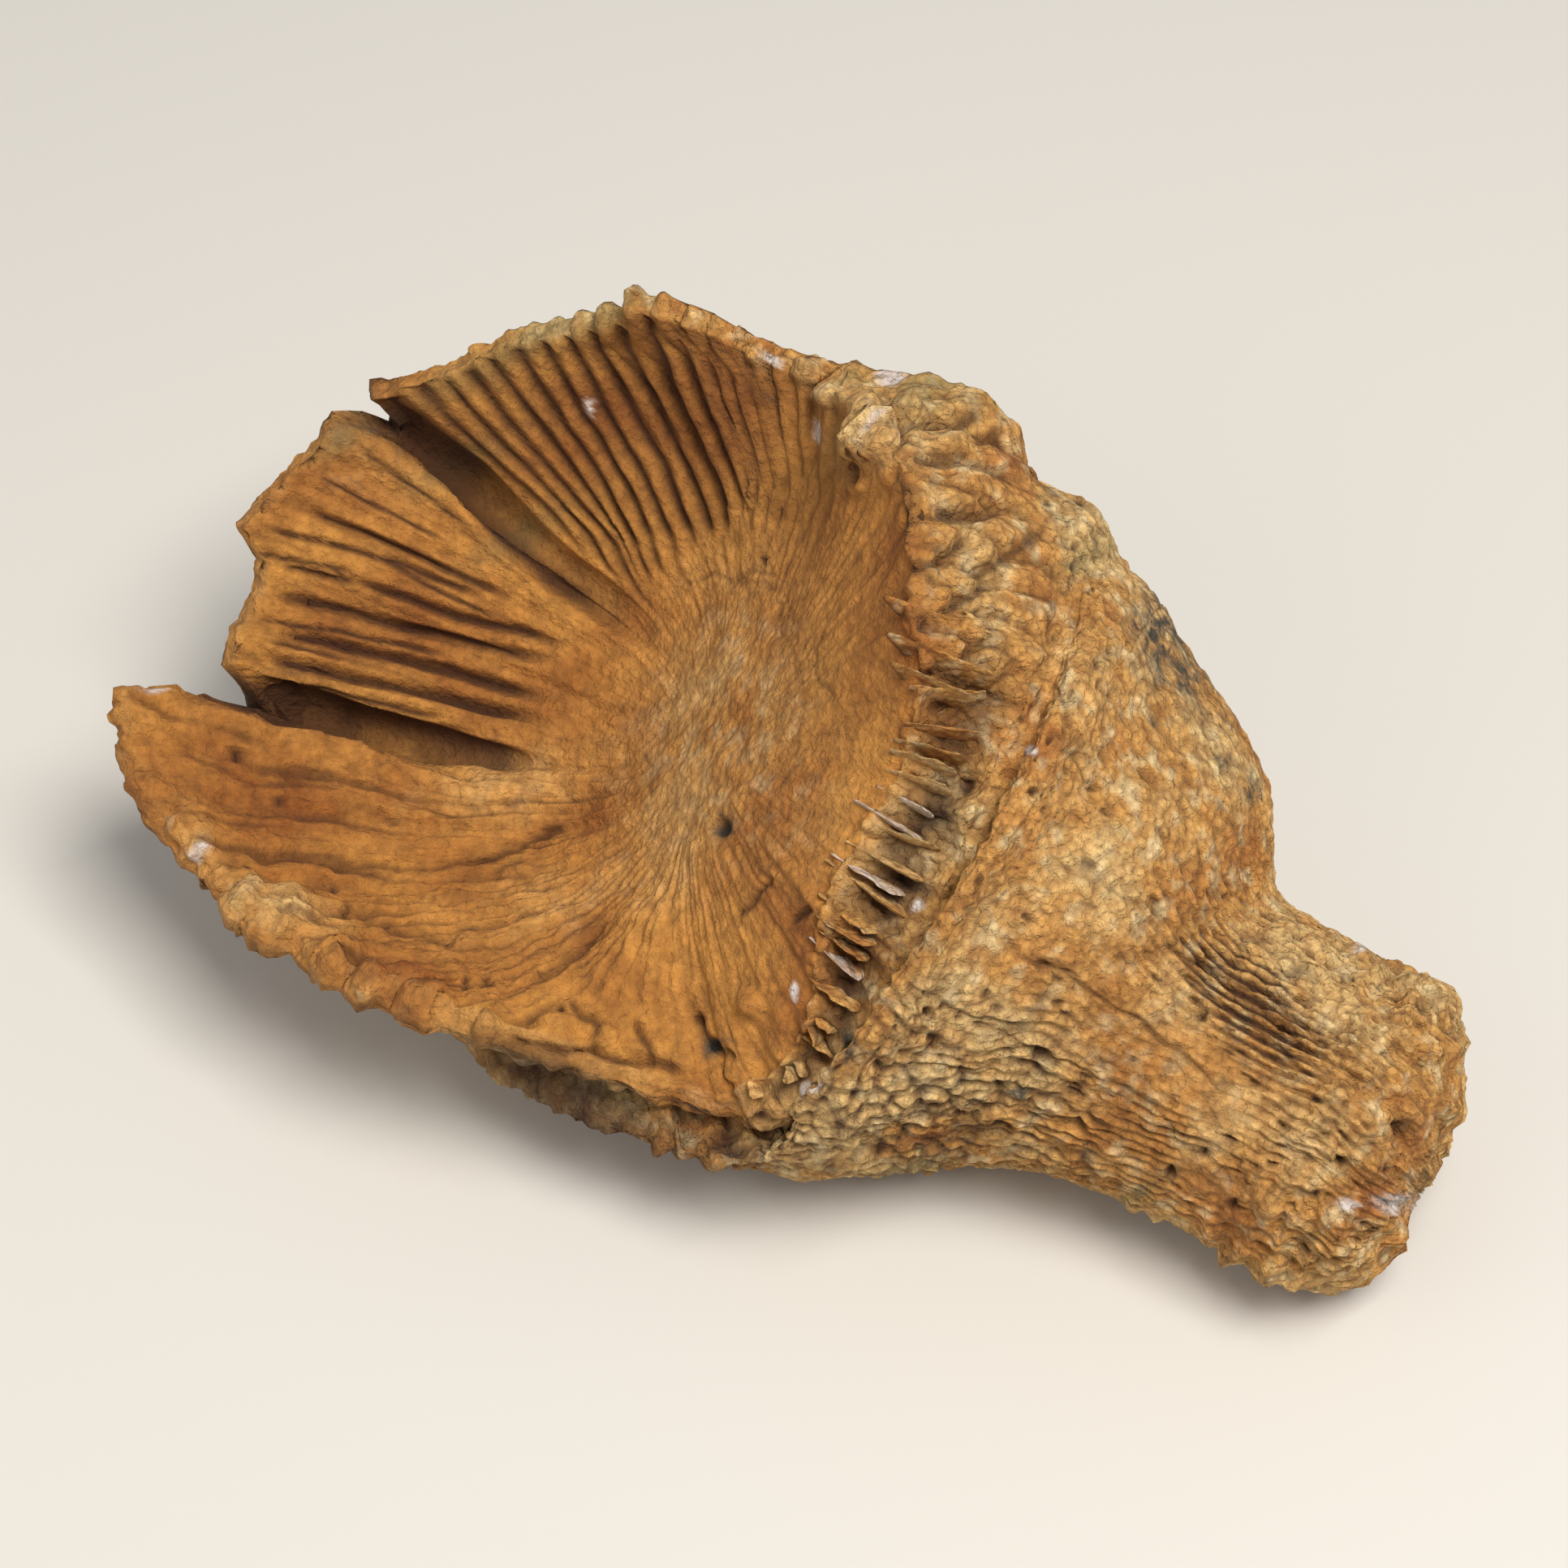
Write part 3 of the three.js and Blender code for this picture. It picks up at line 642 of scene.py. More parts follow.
# The outer wall: heights and depths in millimetres, and its zones as picture pixels, radii, turn and power
wall = {
    "plates": 96,          # costae round the wall, one for each plate of the cup
    "beadLength": 1.5,     # from bead to bead along a costa
    "shingleLength": 2.3,
    "pitSpacing": 0.95,
    "bossLength": 3.4,     # coarse lumps of the foot
    "undulation": 0.42,
    "costaHeight": 0.17,
    "shingleHeight": 0.75,
    "grainHeight": 0.16,
    "bossHeight": 0.85,
    "pitDepth": 0.4,
    "stepHeight": 0.5,
    "notchSwell": 0.9,
}
wallZones = {
    "shinglesNear": ((1170, 1370), (210, 110)),
    "shinglesFlange": ((800, 1400), (260, 90)),
    "beads": ((1555, 1180), (120, 45), 20),
    "grooves": ((1530, 1225), (140, 60), 36, 2.5),
    "smoothStem": ((1420, 1250), (110, 70), 30),
    "smoothWall": ((1380, 1000), (150, 200)),
    "plain": ((1370, 960), (190, 230), 20, 4),
    "lumps": ((1700, 1390), (120, 190)),
    "steps": ((1600, 1520), (130, 60)),
}


# Relief of the outer wall and foot: slow swells, beaded costae, shingles, grains and pits, each in its zone,
# and painted shade in the grooves, pits and gaps between beads and shingles
def carveWall():
    part = slice(0, wallEnd)
    p, az, x, y, near = rows[part], allAz[part], px[part], py[part], facing[part]
    cap = np.broadcast_to(spineStart - np.linspace(6, 0.3, grid["capRows"])[:, None], (capEnd, az.shape[1]))
    place = np.vstack([cap, wallPlace])
    zone = {name: near * spot(x, y, *values) for name, values in wallZones.items()}
    shingles = np.maximum(zone["shinglesNear"], zone["shinglesFlange"])
    shingles = np.maximum(shingles, 0.55 * (1 - near) * rise((place + 26) / 8))
    beads, grooves, plainZone = zone["beads"], zone["grooves"], zone["plain"]
    smooth = np.maximum(zone["smoothStem"], 0.6 * zone["smoothWall"])
    lumps = np.maximum(zone["lumps"], rise((-place - 40) / 4))
    turn = az / 360 + 0.5
    warp = 1.7 * noise(p, 9.0, 21) + 0.7 * noise(p, 3.2, 22)
    warp = warp * (1 - 0.8 * rise(2 * grooves))

    slow = wall["undulation"] * noise(p, 7.5, 23) + 0.22 * noise(p, 3.2, 24)
    phase = wall["plates"] * turn + warp
    ridge = np.cos(2 * np.pi * phase)
    strength = (0.35 + 0.65 * rise(0.5 + noise(p, 5.0, 25))) * (1 + 0.9 * grooves - 0.35 * beads)
    strength = strength * (1 - 0.75 * plainZone) * (1 + 0.5 * shingles)
    costae = wall["costaHeight"] * strength * ridge
    toBead, _, _, size, _ = cells(phase, place / wall["beadLength"] + 0.4 * warp, wall["plates"],
                                  26, 0.35, 0.9)
    bead = roundTop(toBead, 0.62) * (0.5 + 0.5 * size)
    beadHeight = 0.16 + 0.35 * beads + 0.1 * shingles - 0.08 * smooth - 0.08 * plainZone
    toPlate, toNext, tone, _, lag = cells(0.62 * wall["plates"] * turn + 0.8 * warp,
                                          place / wall["shingleLength"] + warp, 60, 27)
    lifted = rise((toNext - toPlate) / 0.32)
    plate = (0.35 + 0.65 * tone) * (0.55 + 0.5 * lag) * lifted
    toPit, _, chance, pitSize, _ = cells(1.7 * wall["plates"] * turn + warp, place / wall["pitSpacing"],
                                         163, 29, 1.0, 1.0)
    pits = np.where(chance > 0.9, hump(toPit, 0, 0.36, 3), 0) * (0.35 + 0.65 * pitSize)
    toBoss, _, bossTone, _, _ = cells(26 * turn + 0.5 * warp, place / wall["bossLength"], 26, 30)
    boss = roundTop(toBoss, 0.75) * (0.4 + 0.6 * bossTone)
    stepped = np.abs(((place * 0.55 + 0.5 * warp) % 1.0) - 0.5) * 2

    out = slow + costae + beadHeight * (bead - 0.4) + wall["shingleHeight"] * shingles * (plate - 0.25)
    out = out + wall["grainHeight"] * rough(p, 1.0, 28) - wall["pitDepth"] * pits * (1 - 0.4 * smooth)
    out = out + wall["bossHeight"] * lumps * (boss - 0.5) + 0.5 * lumps * rough(p, 3.0, 31)
    out = out + wall["stepHeight"] * zone["steps"] * stepped
    out = out + (0.35 * lumps + 0.22 * shingles + 0.12) * rough(p, 1.3, 32)
    deepShade = hump(ridge, -1, 0.75, 2) * (0.25 + grooves * 0.75) * strength + pits * 0.9
    deepShade = deepShade + shingles * (1 - lifted) * 0.75 + (1 - rise(bead / 0.35)) * (0.36 - 0.26 * plainZone)
    nearRim = rise((rim[1][None, :] - place) / 2.5)
    out = out * (0.45 + 0.55 * nearRim) * (1 - 0.35 * rise(place / 6))
    return out + wall["notchSwell"] * humps(az, gullyPlaces) * rise((place - 1) / 5), np.clip(deepShade, 0, 1)


print("coral: outer wall")
relief[:wallEnd], hollow[:wallEnd] = carveWall()

# The broken edge: angles in degrees, heights and depths in millimetres
edge = {"bladePitch": 4.1, "wedgePitch": 6.3, "pitDepth": 1.5, "wedgeHeight": 0.6,
        "broken": (96, 10, -134, 10), "bladed": (146, 10, -134, 12), "wedged": (98, 8, 150, 10)}


# Relief of the broken edge: pits between the plate ends, wedges higher up, ragged all over, and painted shade
# in the pits and between the wedge ridges
def carveBand():
    part = slice(wallEnd, bandEnd)
    p, az, share = rows[part], allAz[part], bandShare
    blade = np.cos(np.pi * az / edge["bladePitch"]) ** 2
    broken, bladed = [np.clip(beyond(az, *edge[name]), 0, 1) for name in ("broken", "bladed")]
    wedge = between(az, *edge["wedged"])
    middle = hump(share, 0.5, 0.55, 6)
    ridge = np.abs(np.cos(np.pi * (az / edge["wedgePitch"] + 0.3 * noise(p, 3.5, 42) + 0.35 * share))) ** 0.6
    hollowed = np.sin(np.pi * np.clip(share, 0, 1)) ** 0.8 * (0.75 + 0.45 * noise(p, 2.4, 47))
    out = bladed * edge["pitDepth"] * (0.25 * blade - hollowed)
    out = out + wedge * middle * edge["wedgeHeight"] * (ridge - 0.6 + 0.35 * noise(p, 1.9, 43))
    out = out + broken * (0.45 * rough(p, 2.4, 44) + 0.26 * rough(p, 1.0, 45))
    out = out + (1 - broken) * 0.14 * rough(p, 1.2, 46)
    deepShade = bladed * middle * hollowed * 1.05 + wedge * middle * hump(ridge, 0, 0.4) * 0.8
    return out, np.clip(deepShade, 0, 1)


print("coral: broken edge")
relief[wallEnd:bandEnd], hollow[wallEnd:bandEnd] = carveBand()

# The inside of the cup: heights and depths in millimetres, lobes as azimuths with their smooth steps
cup = {
    "plateHeight": 0.68, "fibre": 0.1, "gutterDepth": 1.3, "valleyDepth": 1.7, "bandHeight": 0.55,
    "streakHeight": 0.42, "plateFoot": 12.6, "calmRadius": 5,
    "upper": (26, 4, 96, 14), "left": (-21, 3, 21, 3), "farSide": (68, 10, 100, 20),
    "lower": (22, 6, 105, 25),      # on azimuths that run the other way
    "stripAngle": 3.75,             # degrees from plate to plate
}


# Relief of the cup: plates of the upper lobe, slits of the left one, worn strips elsewhere,
# the gutter and valley between the lobes, with painted shade in the plate grooves, slits, strips, gutter and
# valley
def carveCup():
    part = slice(bandEnd, rows.shape[0])
    p, az, x, y = rows[part], allAz[part], px[part], py[part]
    sway = noise(p, 2.2, 50)
    upper, left = between(az, *cup["upper"]), between(az, *cup["left"])
    lower = between(-az, *cup["lower"])
    outer = rise((cupRadius - cup["calmRadius"]) / 8)
    calm = 1 - outer
    strip = az / cup["stripAngle"] + 0.5 * noise(p, 5.0, 52)

    # Noise stretched along the plates: across counts strips, length is millimetres towards the middle
    def stretched(across, length, seed):
        return noise(np.stack([across, cupRadius / length, 0 * az], -1), 1.0, seed)

    # Distance beside a traced line that sways with the stone
    def swayed(amount, line):
        return lineDistance(x + amount * sway, y + amount * sway, line)

    fade = rise((cupRadius - cup["plateFoot"] - 1.6 * noise(p, 3.0, 51)) / 3.0)
    strong = upper * (1 - 0.5 * rise((az - 71) / 10)) * fade
    plates = (np.cos(np.pi * (crestCount(x, y) + 0.07 * sway)) ** 2) ** 0.75
    out = strong * cup["plateHeight"] * (plates - 0.62) * (1 + 0.25 * sway)
    deepShade = strong * (1 - plates) ** 1.1
    for line, width, depth in slits:
        dist, where, _ = swayed(3, line)
        cut = rise((where + 0.06) / 0.15) * rise((1 - where) / 0.2) * hump(dist, 0, 1.05 * width, 2.5)
        out = out - depth * cut + 0.14 * (hump(dist, 0, width * 2.4, 2) - cut)
        deepShade = np.maximum(deepShade, cut)
    fibre = cup["fibre"] * (1 + 0.6 * left) * stretched(strip * 1.6, 9, 53)
    groove = stretched(strip * 3.1, 16, 58)
    out = out + outer * (fibre + 0.05 * stretched(strip * 4.5, 5, 54) + 0.16 * left * groove)
    deepShade = np.maximum(deepShade, 0.3 * left * outer * rise((-groove - 0.1) / 0.6))
    streak = stretched(strip * 2.2 + 0.35 * noise(p, 1.6, 59), 6, 60)
    band = stretched(strip * 1.1 + 0.5 * noise(p, 2.6, 70), 8, 75)
    worn = cup["bandHeight"] * band + cup["streakHeight"] * streak + 0.3 * rough(p, 2.0, 55)
    out = out + lower * outer * worn
    deepShade = np.maximum(deepShade, 0.62 * lower * outer * rise((-streak - 0.5 * band - 0.08) / 0.5))
    floorOnly = np.clip((1 - lower) * (1 - left) * (1 - upper) + calm, 0, 1) * rise((cupRadius - 4) / 6)
    out = out + 0.1 * floorOnly * streak
    deepShade = np.maximum(deepShade, 0.16 * floorOnly * rise((-streak) / 0.5))
    # Painted shade over the upper lobe, more on its far part
    deepShade = np.maximum(deepShade, (0.2 * upper + 0.16 * between(az, *cup["farSide"])) * fade)
    out = out + 0.32 * noise(p, 8.0, 56) + (0.1 + 0.12 * calm) * rough(p, 2.2, 57)
    deepShade = np.maximum(deepShade, 0.2 * calm * rise(0.5 * rough(p, 1.6, 65)))
    dist, where, side = swayed(4, gutterLine)
    past = dist * side
    fadeIn = 1 - rise((where - 0.72) / 0.28)
    gutter = rise((past + 3) / 10) * (1 - rise((past - 14) / 52)) * fadeIn
    dist, where, _ = swayed(4, valleyLine)
    valley = hump(dist, 0, 25 - 12 * where, 4) * rise((1.02 - where) / 0.2)
    out = out - cup["gutterDepth"] * gutter + 0.35 * hump(past, -9, 13) * fadeIn
    out = out - cup["valleyDepth"] * valley * (1 - 0.5 * where)
    # The gutter and the valley also carry painted shade
    return out, np.clip(np.maximum(deepShade, np.maximum(gutter, 0.95 * valley)), 0, 1)


print("coral: cup")
relief[bandEnd:], hollow[bandEnd:] = carveCup()
thinRim = np.maximum(rise((rim[1] - 4) / 6), hump(columns, -96, 38, 6)) * (1 - rise((columns - 46) / 8))
inside[bandEnd:] = 1 - 0.3 * rise((12 - cupRadius) / 8)
inside[wallEnd:bandEnd] = np.maximum(0.55 * rise((bandShare - 0.5) / 0.5), 0.85 * thinRim)
inside[capEnd:wallEnd] = 0.7 * thinRim * (1 - rise((rim[1] - wallPlace - 0.5) / 3))


# Holes, cracks, knobs and coloured patches that are placed by the picture, on the side that faces it. Holes,
# cracks and the shades get painted shade, and the olive patches are a painted green reflection.
def markSurface():
    jitter = 2.5 * noise(rows, 1.2, 61)
    x, y = px + jitter, py + jitter
    wander = 9 * noise(rows, 2.4, 63)
    ahead = normals @ toCamera
    for cx, cy, radius, depth in holes:
        pit = facing * hump(np.hypot(x - cx, y - cy), 0, radius, 4)
        relief[...] -= depth * pit
        hollow[...] = np.maximum(hollow, pit)
    for line, width, depth in cracks:
        cut = facing * hump(lineDistance(x + wander, y - wander, line)[0], 0, width, 2)
        relief[...] -= depth * cut
        hollow[...] = np.maximum(hollow, min(0.85, 0.4 + depth) * cut)
    xKnob = x + 9 * noise(rows, 1.7, 66) + 4 * noise(rows, 0.8, 67)
    yKnob = y + 9 * noise(rows, 1.7, 68)
    swell = rise((ahead + 0.6) / 0.7) * (1 + 0.5 * noise(rows, 1.0, 69))
    footOutline = rise((px - 1640) / 60) * (1 - rise(ahead / 0.45))
    swell = swell * (1 - 0.6 * footOutline)
    for cx, cy, radius, height in knobs:
        relief[...] += height * swell * hump(np.hypot(xKnob - cx, yKnob - cy), 0, 0.82 * radius, 3)
    for cx, cy, radius, depth in dents:
        relief[...] -= depth * hump(allAz, 100, 32, 4) * hump(np.hypot(x - cx, y - cy), 0, radius)
    patch = 0.5 + 0.5 * rough(rows, 1.0, 62)
    for cx, cy, rx, ry in whites:
        share = spot(x, y, (cx, cy), (rx, ry)) * 1.6 - 0.5 + 0.3 * patch
        calcite[...] = np.maximum(calcite, facing * rise(share))
    for cx, cy, rx, ry in stains:
        share = spot(x, y, (cx, cy), (rx, ry), 0, 2) * 1.3 - 0.9 * patch + 0.3
        stain[...] = np.maximum(stain, facing * rise(share))
    for cx, cy, rx, ry, turn, depth in shades:
        shade = depth * (0.8 + 0.3 * patch) * rise((facing + 0.3) / 0.5)
        hollow[...] = np.maximum(hollow, shade * spot(x, y, (cx, cy), (rx, ry), turn, 4))
    outside = slice(0, wallEnd)
    for cx, cy, rx, ry, turn, share in warms:
        warm = share * (facing * (0.7 + 0.6 * patch) * spot(x, y, (cx, cy), (rx, ry), turn, 2))[outside]
        inside[outside] = np.maximum(inside[outside], warm)
    for cx, cy, rx, ry, turn, share in pales:
        inside[...] *= 1 - share * (0.6 + 0.6 * patch) * spot(x, y, (cx, cy), (rx, ry), turn, 2)
    # Painted green reflection on the olive patches
    for cx, cy, rx, ry in greenReflections:
        moss[...] = np.maximum(moss, rise((facing + 0.4) / 0.6) * spot(x, y, (cx, cy), (rx, ry), -28, 2))


markSurface()

# Edges: knobs on the upper rim, soft lumps on the lower lobe, a ragged crest along the break
bandAz = columns[None, :]
belowRim = np.zeros(rows.shape[:2])      # millimetres from the rim, along the cup or down the wall
belowRim[bandEnd:] = 25 * cupShare
belowRim[:wallEnd] = np.vstack([np.full((capEnd, grid["columns"]), 9.0), rim[1][None, :] - wallPlace])
knobby = between(columns, 46, 10, 94, 8) * (knobCrest(crestCount(px[bandEnd], py[bandEnd])) - 0.4)
relief += beyond(bandAz, 130, 15, -134, 10) * hump(belowRim, 0, 1.8) * 0.55 * rough(rows, 1.4, 77)
relief += hump(belowRim, 0, 1.3) * unbroken * (0.34 * knobby + 0.16 * rough(rows, 1.1, 64))
relief += rise((-bandAz - 24) / 6) * hump(belowRim, 0, 2.4) * (0.25 + 0.55 * rough(rows, 2.2, 76))

# Thin stone keeps its thickness: hollows stay shallow near the rim
lobes = rise((rim[1] - 4) / 6)[None, :]
floorOf = 0.35 + 0.16 * belowRim + 3 * (1 - lobes)
gully = humps(columns, gullyPlaces)[None, :]
deepest = np.where(np.arange(rows.shape[0])[:, None] >= bandEnd, floorOf + 0.9 * gully,
                   np.minimum(floorOf - 0.15, 2.2))
relief = np.maximum(relief, -deepest)
# Painted shade at the bottoms of the notches
notch = humps(columns, notchPlaces, 4)[None, :]
hollow = np.maximum(hollow, 0.95 * notch * (1 - rise((belowRim - 2.5) / 3)))
level = sum(np.roll(relief, k, axis=0) for k in range(-4, 5)) / 9
relief = relief * (1 - softened) + level * softened
baseRows = rows.copy()
rows = rows + normals * relief[..., None]
rows[..., 2] = np.maximum(rows[..., 2], 0.0)


# Puts vertices and faces into a mesh in metres, with numbers for each vertex that the material reads
def makePiece(name, points, faces, smooth, numbers):
    mesh = bpy.data.meshes.new(name)
    faces = [np.asarray(f) for f in faces]
    loops = np.concatenate([f.ravel() for f in faces])
    sizes = np.concatenate([np.full(len(f), f.shape[1]) for f in faces])
    mesh.vertices.add(len(points))
    mesh.vertices.foreach_set("co", (np.asarray(points) * metre).astype(np.float32).ravel())
    mesh.loops.add(len(loops))
    mesh.loops.foreach_set("vertex_index", loops.astype(np.int32))
    mesh.polygons.add(len(sizes))
    mesh.polygons.foreach_set("loop_start", (np.cumsum(sizes) - sizes).astype(np.int32))
    mesh.polygons.foreach_set("use_smooth", np.asarray(smooth, bool))
    mesh.update(calc_edges=True)
    for key, values in numbers.items():
        layer = mesh.attributes.new(key, "FLOAT", "POINT")
        layer.data.foreach_set("value", values.astype(np.float32).ravel())
    mesh.validate()
    piece = bpy.data.objects.new(name, mesh)
    bpy.context.scene.collection.objects.link(piece)
    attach(piece, "root")
    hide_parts("horn_coral")
    return piece


# Closed piece from a run of rings. Each end is a list of extra rings that close it, and then a point.
def makeShell(name, first, last, startRings, startPoint, endRings, endPoint):
    n = grid["columns"]
    rings = [*startRings, *rows[first:last], *endRings]
    points = np.vstack([np.array(startPoint)[None, :], *rings, np.array(endPoint)[None, :]])
    k = np.arange(n)
    k1 = (k + 1) % n
    ring = np.arange(len(rings) - 1)[:, None] * n + 1
    quads = np.stack([ring + k, ring + n + k, ring + n + k1, ring + k1], -1)
    startFan = np.stack([0 * k, 1 + k, 1 + k1], -1)
    lastRing = 1 + (len(rings) - 1) * n
    endFan = np.stack([0 * k + len(points) - 1, lastRing + k1, lastRing + k], -1)
    shown = np.ones((len(rings) - 1, n), bool)
    shown[:len(startRings)] = False
    shown[len(rings) - 1 - len(endRings):] = False
    smooth = np.concatenate([shown.ravel(), np.full(n, not startRings), np.full(n, not endRings)])
    numbers = {}
    # Hidden rings take full painted shade and the cup's colour, so that where they show they read as shadow
    for key, field, hidden in (("hollow", hollow, 1.0), ("inside", inside, 1.0), ("calcite", calcite, 0.0),
                               ("stain", stain, 0.0), ("moss", moss, 0.0)):
        before, after = [np.full(len(extra) * n, hidden) for extra in (startRings, endRings)]
        pole = 0.0 if endRings else field[last - 1].mean()
        numbers[key] = np.concatenate([[0.0], before, field[first:last].ravel(), after, [pole]])
    return makePiece(name, points, [quads.reshape(-1, 4), startFan, endFan], smooth, numbers)


# Rings that shrink towards a point, to close a cut end
def shrink(ring, point, count):
    return [ring + (np.array(point) - ring) * (k / (count + 1)) for k in range(1, count + 1)]


# Hidden surface half way through the stone, from the rim down to under the floor. It lies lower at the
# notches and along the break, so that no hollow reaches it.
def midRings():
    cupRows, n = baseRows[bandEnd:], normals[bandEnd:]
    half = baseRows[(wallEnd + bandEnd) // 2]
    sink = np.maximum(2.4, (half - baseRows[wallEnd - 1]) @ cupAxis + 0.8)
    lower = (1.3 * notch[0] + sink * (1 - lobes[0]))[:, None] * cupAxis
    rings = [half - 0.7 * cupAxis - lower]
    for share in (0.05, 0.1, 0.16, 0.24, 0.34, 0.46, 0.6, 0.76, 0.92):
        i = int(share * (len(cupRows) - 1))
        under = 0.5 + 1.2 * float(rise(share / 0.35)) + gully[0][:, None]
        rings.append(cupRows[i] - n[i] * under - lower * max(0.0, 1 - share / 0.3))
    return [np.maximum(ring, [-1e3, -1e3, 0.02]) for ring in rings]


print("coral: pieces")
stemEndRow = capEnd + grid["stemRows"]
stemCentre = spineAt(np.array(grid["stemEnd"]), "centre") + centring
seam = rows[stemEndRow]
underFloor = floorPoint + centring - 1.6 * cupAxis
middle = midRings()
stem = makeShell("coral_stem", 0, stemEndRow + 1, [], rows[0].mean(axis=0),
                 shrink(seam, stemCentre, 3), stemCentre)
wallPiece = makeShell("coral_body", stemEndRow, wallEnd, shrink(seam, stemCentre, 3)[::-1], stemCentre,
                      middle, underFloor)
cupPiece = makeShell("coral_cup", wallEnd - 1, rows.shape[0], middle[::-1], underFloor, [],
                     rows[-1].mean(axis=0))

# Blades: the broken ends of the plates, thin wedges that stand on the broken edge
blades = {
    "first": 146.0, "last": 238.0, "pitch": 3.5, "height": 0.9, "thick": 0.3, "sunk": 1.9,
    "white": (174.5, 178.5, 189.5, 204.0), "steps": 30, "profile": 14,
}


# A blade is a thin teardrop profile carried from the inner edge of the break to the outer one.
# Its height follows half a sine with a ragged crest, and both its ends run into the stone.
def makeBlades():
    count = int((blades["last"] - blades["first"]) / blades["pitch"])
    k = np.arange(count)
    wobble = scatter(k, 0 * k, 0 * k, 71, 4)
    azimuth = blades["first"] + blades["pitch"] * (k + 0.8 * (wobble[0] - 0.5))
    turned = np.where(azimuth > 189, azimuth - 360, azimuth)
    radii = [np.interp(turned, columns, v) for v in rim]
    t = np.linspace(0, 1, blades["steps"])[None, :]
    share = 1.08 + 0.2 * wobble[2][:, None] - (0.72 + 0.26 * wobble[1][:, None]) * t
    spread = turned[:, None] + 4.5 * (wobble[2][:, None] - 0.5) * (t - 0.3)
    base = bandPoint(spread, share, [v[:, None] for v in radii]) + centring
    flat = bandPoint(spread, share + 0.02, [v[:, None] for v in radii]) + centring
    run = unit(flat - base)
    a = np.radians(spread)[..., None]
    across = -np.sin(a) * cupFar + np.cos(a) * cupUp
    up = unit(np.cross(across, run))
    up = up * np.sign((up * cupAxis).sum(-1, keepdims=True))
    crest = np.clip(t * 1.5, 0, 1) ** 0.7 * rise((1.02 - t) / 0.12)
    uneven = 1 + 0.7 * noise(base, 0.7, 72) + 0.5 * noise(base, 2.0, 73)
    height = blades["height"] * (0.3 + 1.0 * wobble[3][:, None]) * crest * uneven
    turn = np.linspace(0, 2 * np.pi, blades["profile"], endpoint=False)
    side = np.sin(turn) * (0.35 + 0.65 * (1 - np.cos(turn)) / 2)
    lift = (1 + np.cos(turn)) / 2
    thick = blades["thick"] * (0.35 + 0.65 * crest) * (0.8 + 0.5 * wobble[1][:, None])
    lean = 0.5 * (wobble[0][:, None] - 0.5)
    foot = (0 * height - blades["sunk"]) * np.clip(0.25 + 2.4 * t, 0, 1)
    stand = foot[..., None] + (height - foot)[..., None] * lift
    points = base[..., None, :] + up[..., None, :] * stand[..., None] \
        + across[..., None, :] * (thick[..., None] * side + lean[..., None] * np.maximum(stand, 0))[..., None]
    n, m = blades["profile"], blades["steps"]
    ring = np.arange(m - 1)[:, None] * n
    j = np.arange(n)
    quads = np.stack([ring + j, ring + (j + 1) % n, ring + n + (j + 1) % n, ring + n + j], -1).reshape(-1, 4)
    ends = np.array([j[::-1], (m - 1) * n + j])
    per = n * m
    allQuads = (quads[None] + per * k[:, None, None]).reshape(-1, 4)
    allEnds = (ends[None] + per * k[:, None, None]).reshape(-1, n)
    white = np.zeros((count, m, n))
    patches = 0.85 * rise((lift + 0.5 * noise(points, 0.8, 74) - 0.35) / 0.3)
    for place in blades["white"]:
        chosen = np.argmin(np.abs(azimuth - place))
        white[chosen] = patches[chosen]
    # Painted shade, darker towards the foot of each blade
    depth = np.broadcast_to(np.clip(1 - (lift + 0.15) * 1.3, 0, 0.8), white.shape)
    none = 0 * white.ravel()
    numbers = {"hollow": depth.ravel(), "calcite": white.ravel(), "stain": none, "moss": none,
               "inside": none + 0.1}
    smooth = np.ones(len(allQuads) + len(allEnds), bool)
    return makePiece("coral_blades", points.reshape(-1, 3), [allQuads, allEnds], smooth, numbers)


bladePiece = makeBlades()


# sRGB hex to linear
def colour(code):
    parts = [int(code[i:i + 2], 16) / 255 for i in (1, 3, 5)]
    return tuple(c / 12.92 if c <= 0.04045 else ((c + 0.055) / 1.055) ** 2.4 for c in parts) + (1.0,)


# Adds a node with its settings and links: inputs by name or number, a tuple (node, output) links
def add(tree, kind, inputs=None, **settings):
    node = tree.nodes.new(kind)
    for key, value in settings.items():
        setattr(node, key, value)
    for key, value in (inputs or {}).items():
        if isinstance(value, tuple) and len(value) == 2 and hasattr(value[0], "outputs"):
            tree.links.new(value[0].outputs[value[1]], node.inputs[key])
        else:
            node.inputs[key].default_value = value
    return node


# Colour ramp stops set by position and hex
def ramp(node, stops):
    elements = node.color_ramp.elements
    while len(elements) > 2:
        elements.remove(elements[-1])
    while len(elements) < len(stops):
        elements.new(0.5)
    for element, (place, code) in zip(elements, stops):
        element.position = place
        element.color = colour(code)


# The stone: colours, then noises as size in millimetres, detail and roughness
stone = {
    "pale": "#FAE0AA", "cream": "#F5CE8A", "ochre": "#E3AA5C", "rust": "#C6823C",
    # The groove colour is painted shade in hollows; the olive colour on the next line is a painted green
    # reflection
    "cupLight": "#D39343", "cupDark": "#9C5A20", "groove": "#381803",
    "calcite": "#E0D8D4", "stain": "#45423A", "moss": "#7A7246",
    "fleck": "#9C9690", "gap": "#9C8068", "clean": "#FFFFFF",
    "noises": {"blotch": (9.0, 3.0, 0.5), "speck": (1.2, 4.0, 0.65), "mottle": (1.6, 2.0, 0.5),
               "grain": (0.5, 4.0, 0.7)},
    "granule": 0.62,          # millimetres from granule to granule
    "granuleHeight": 1.0,
    "grainHeight": 0.5,
    "roughness": 0.9,
}
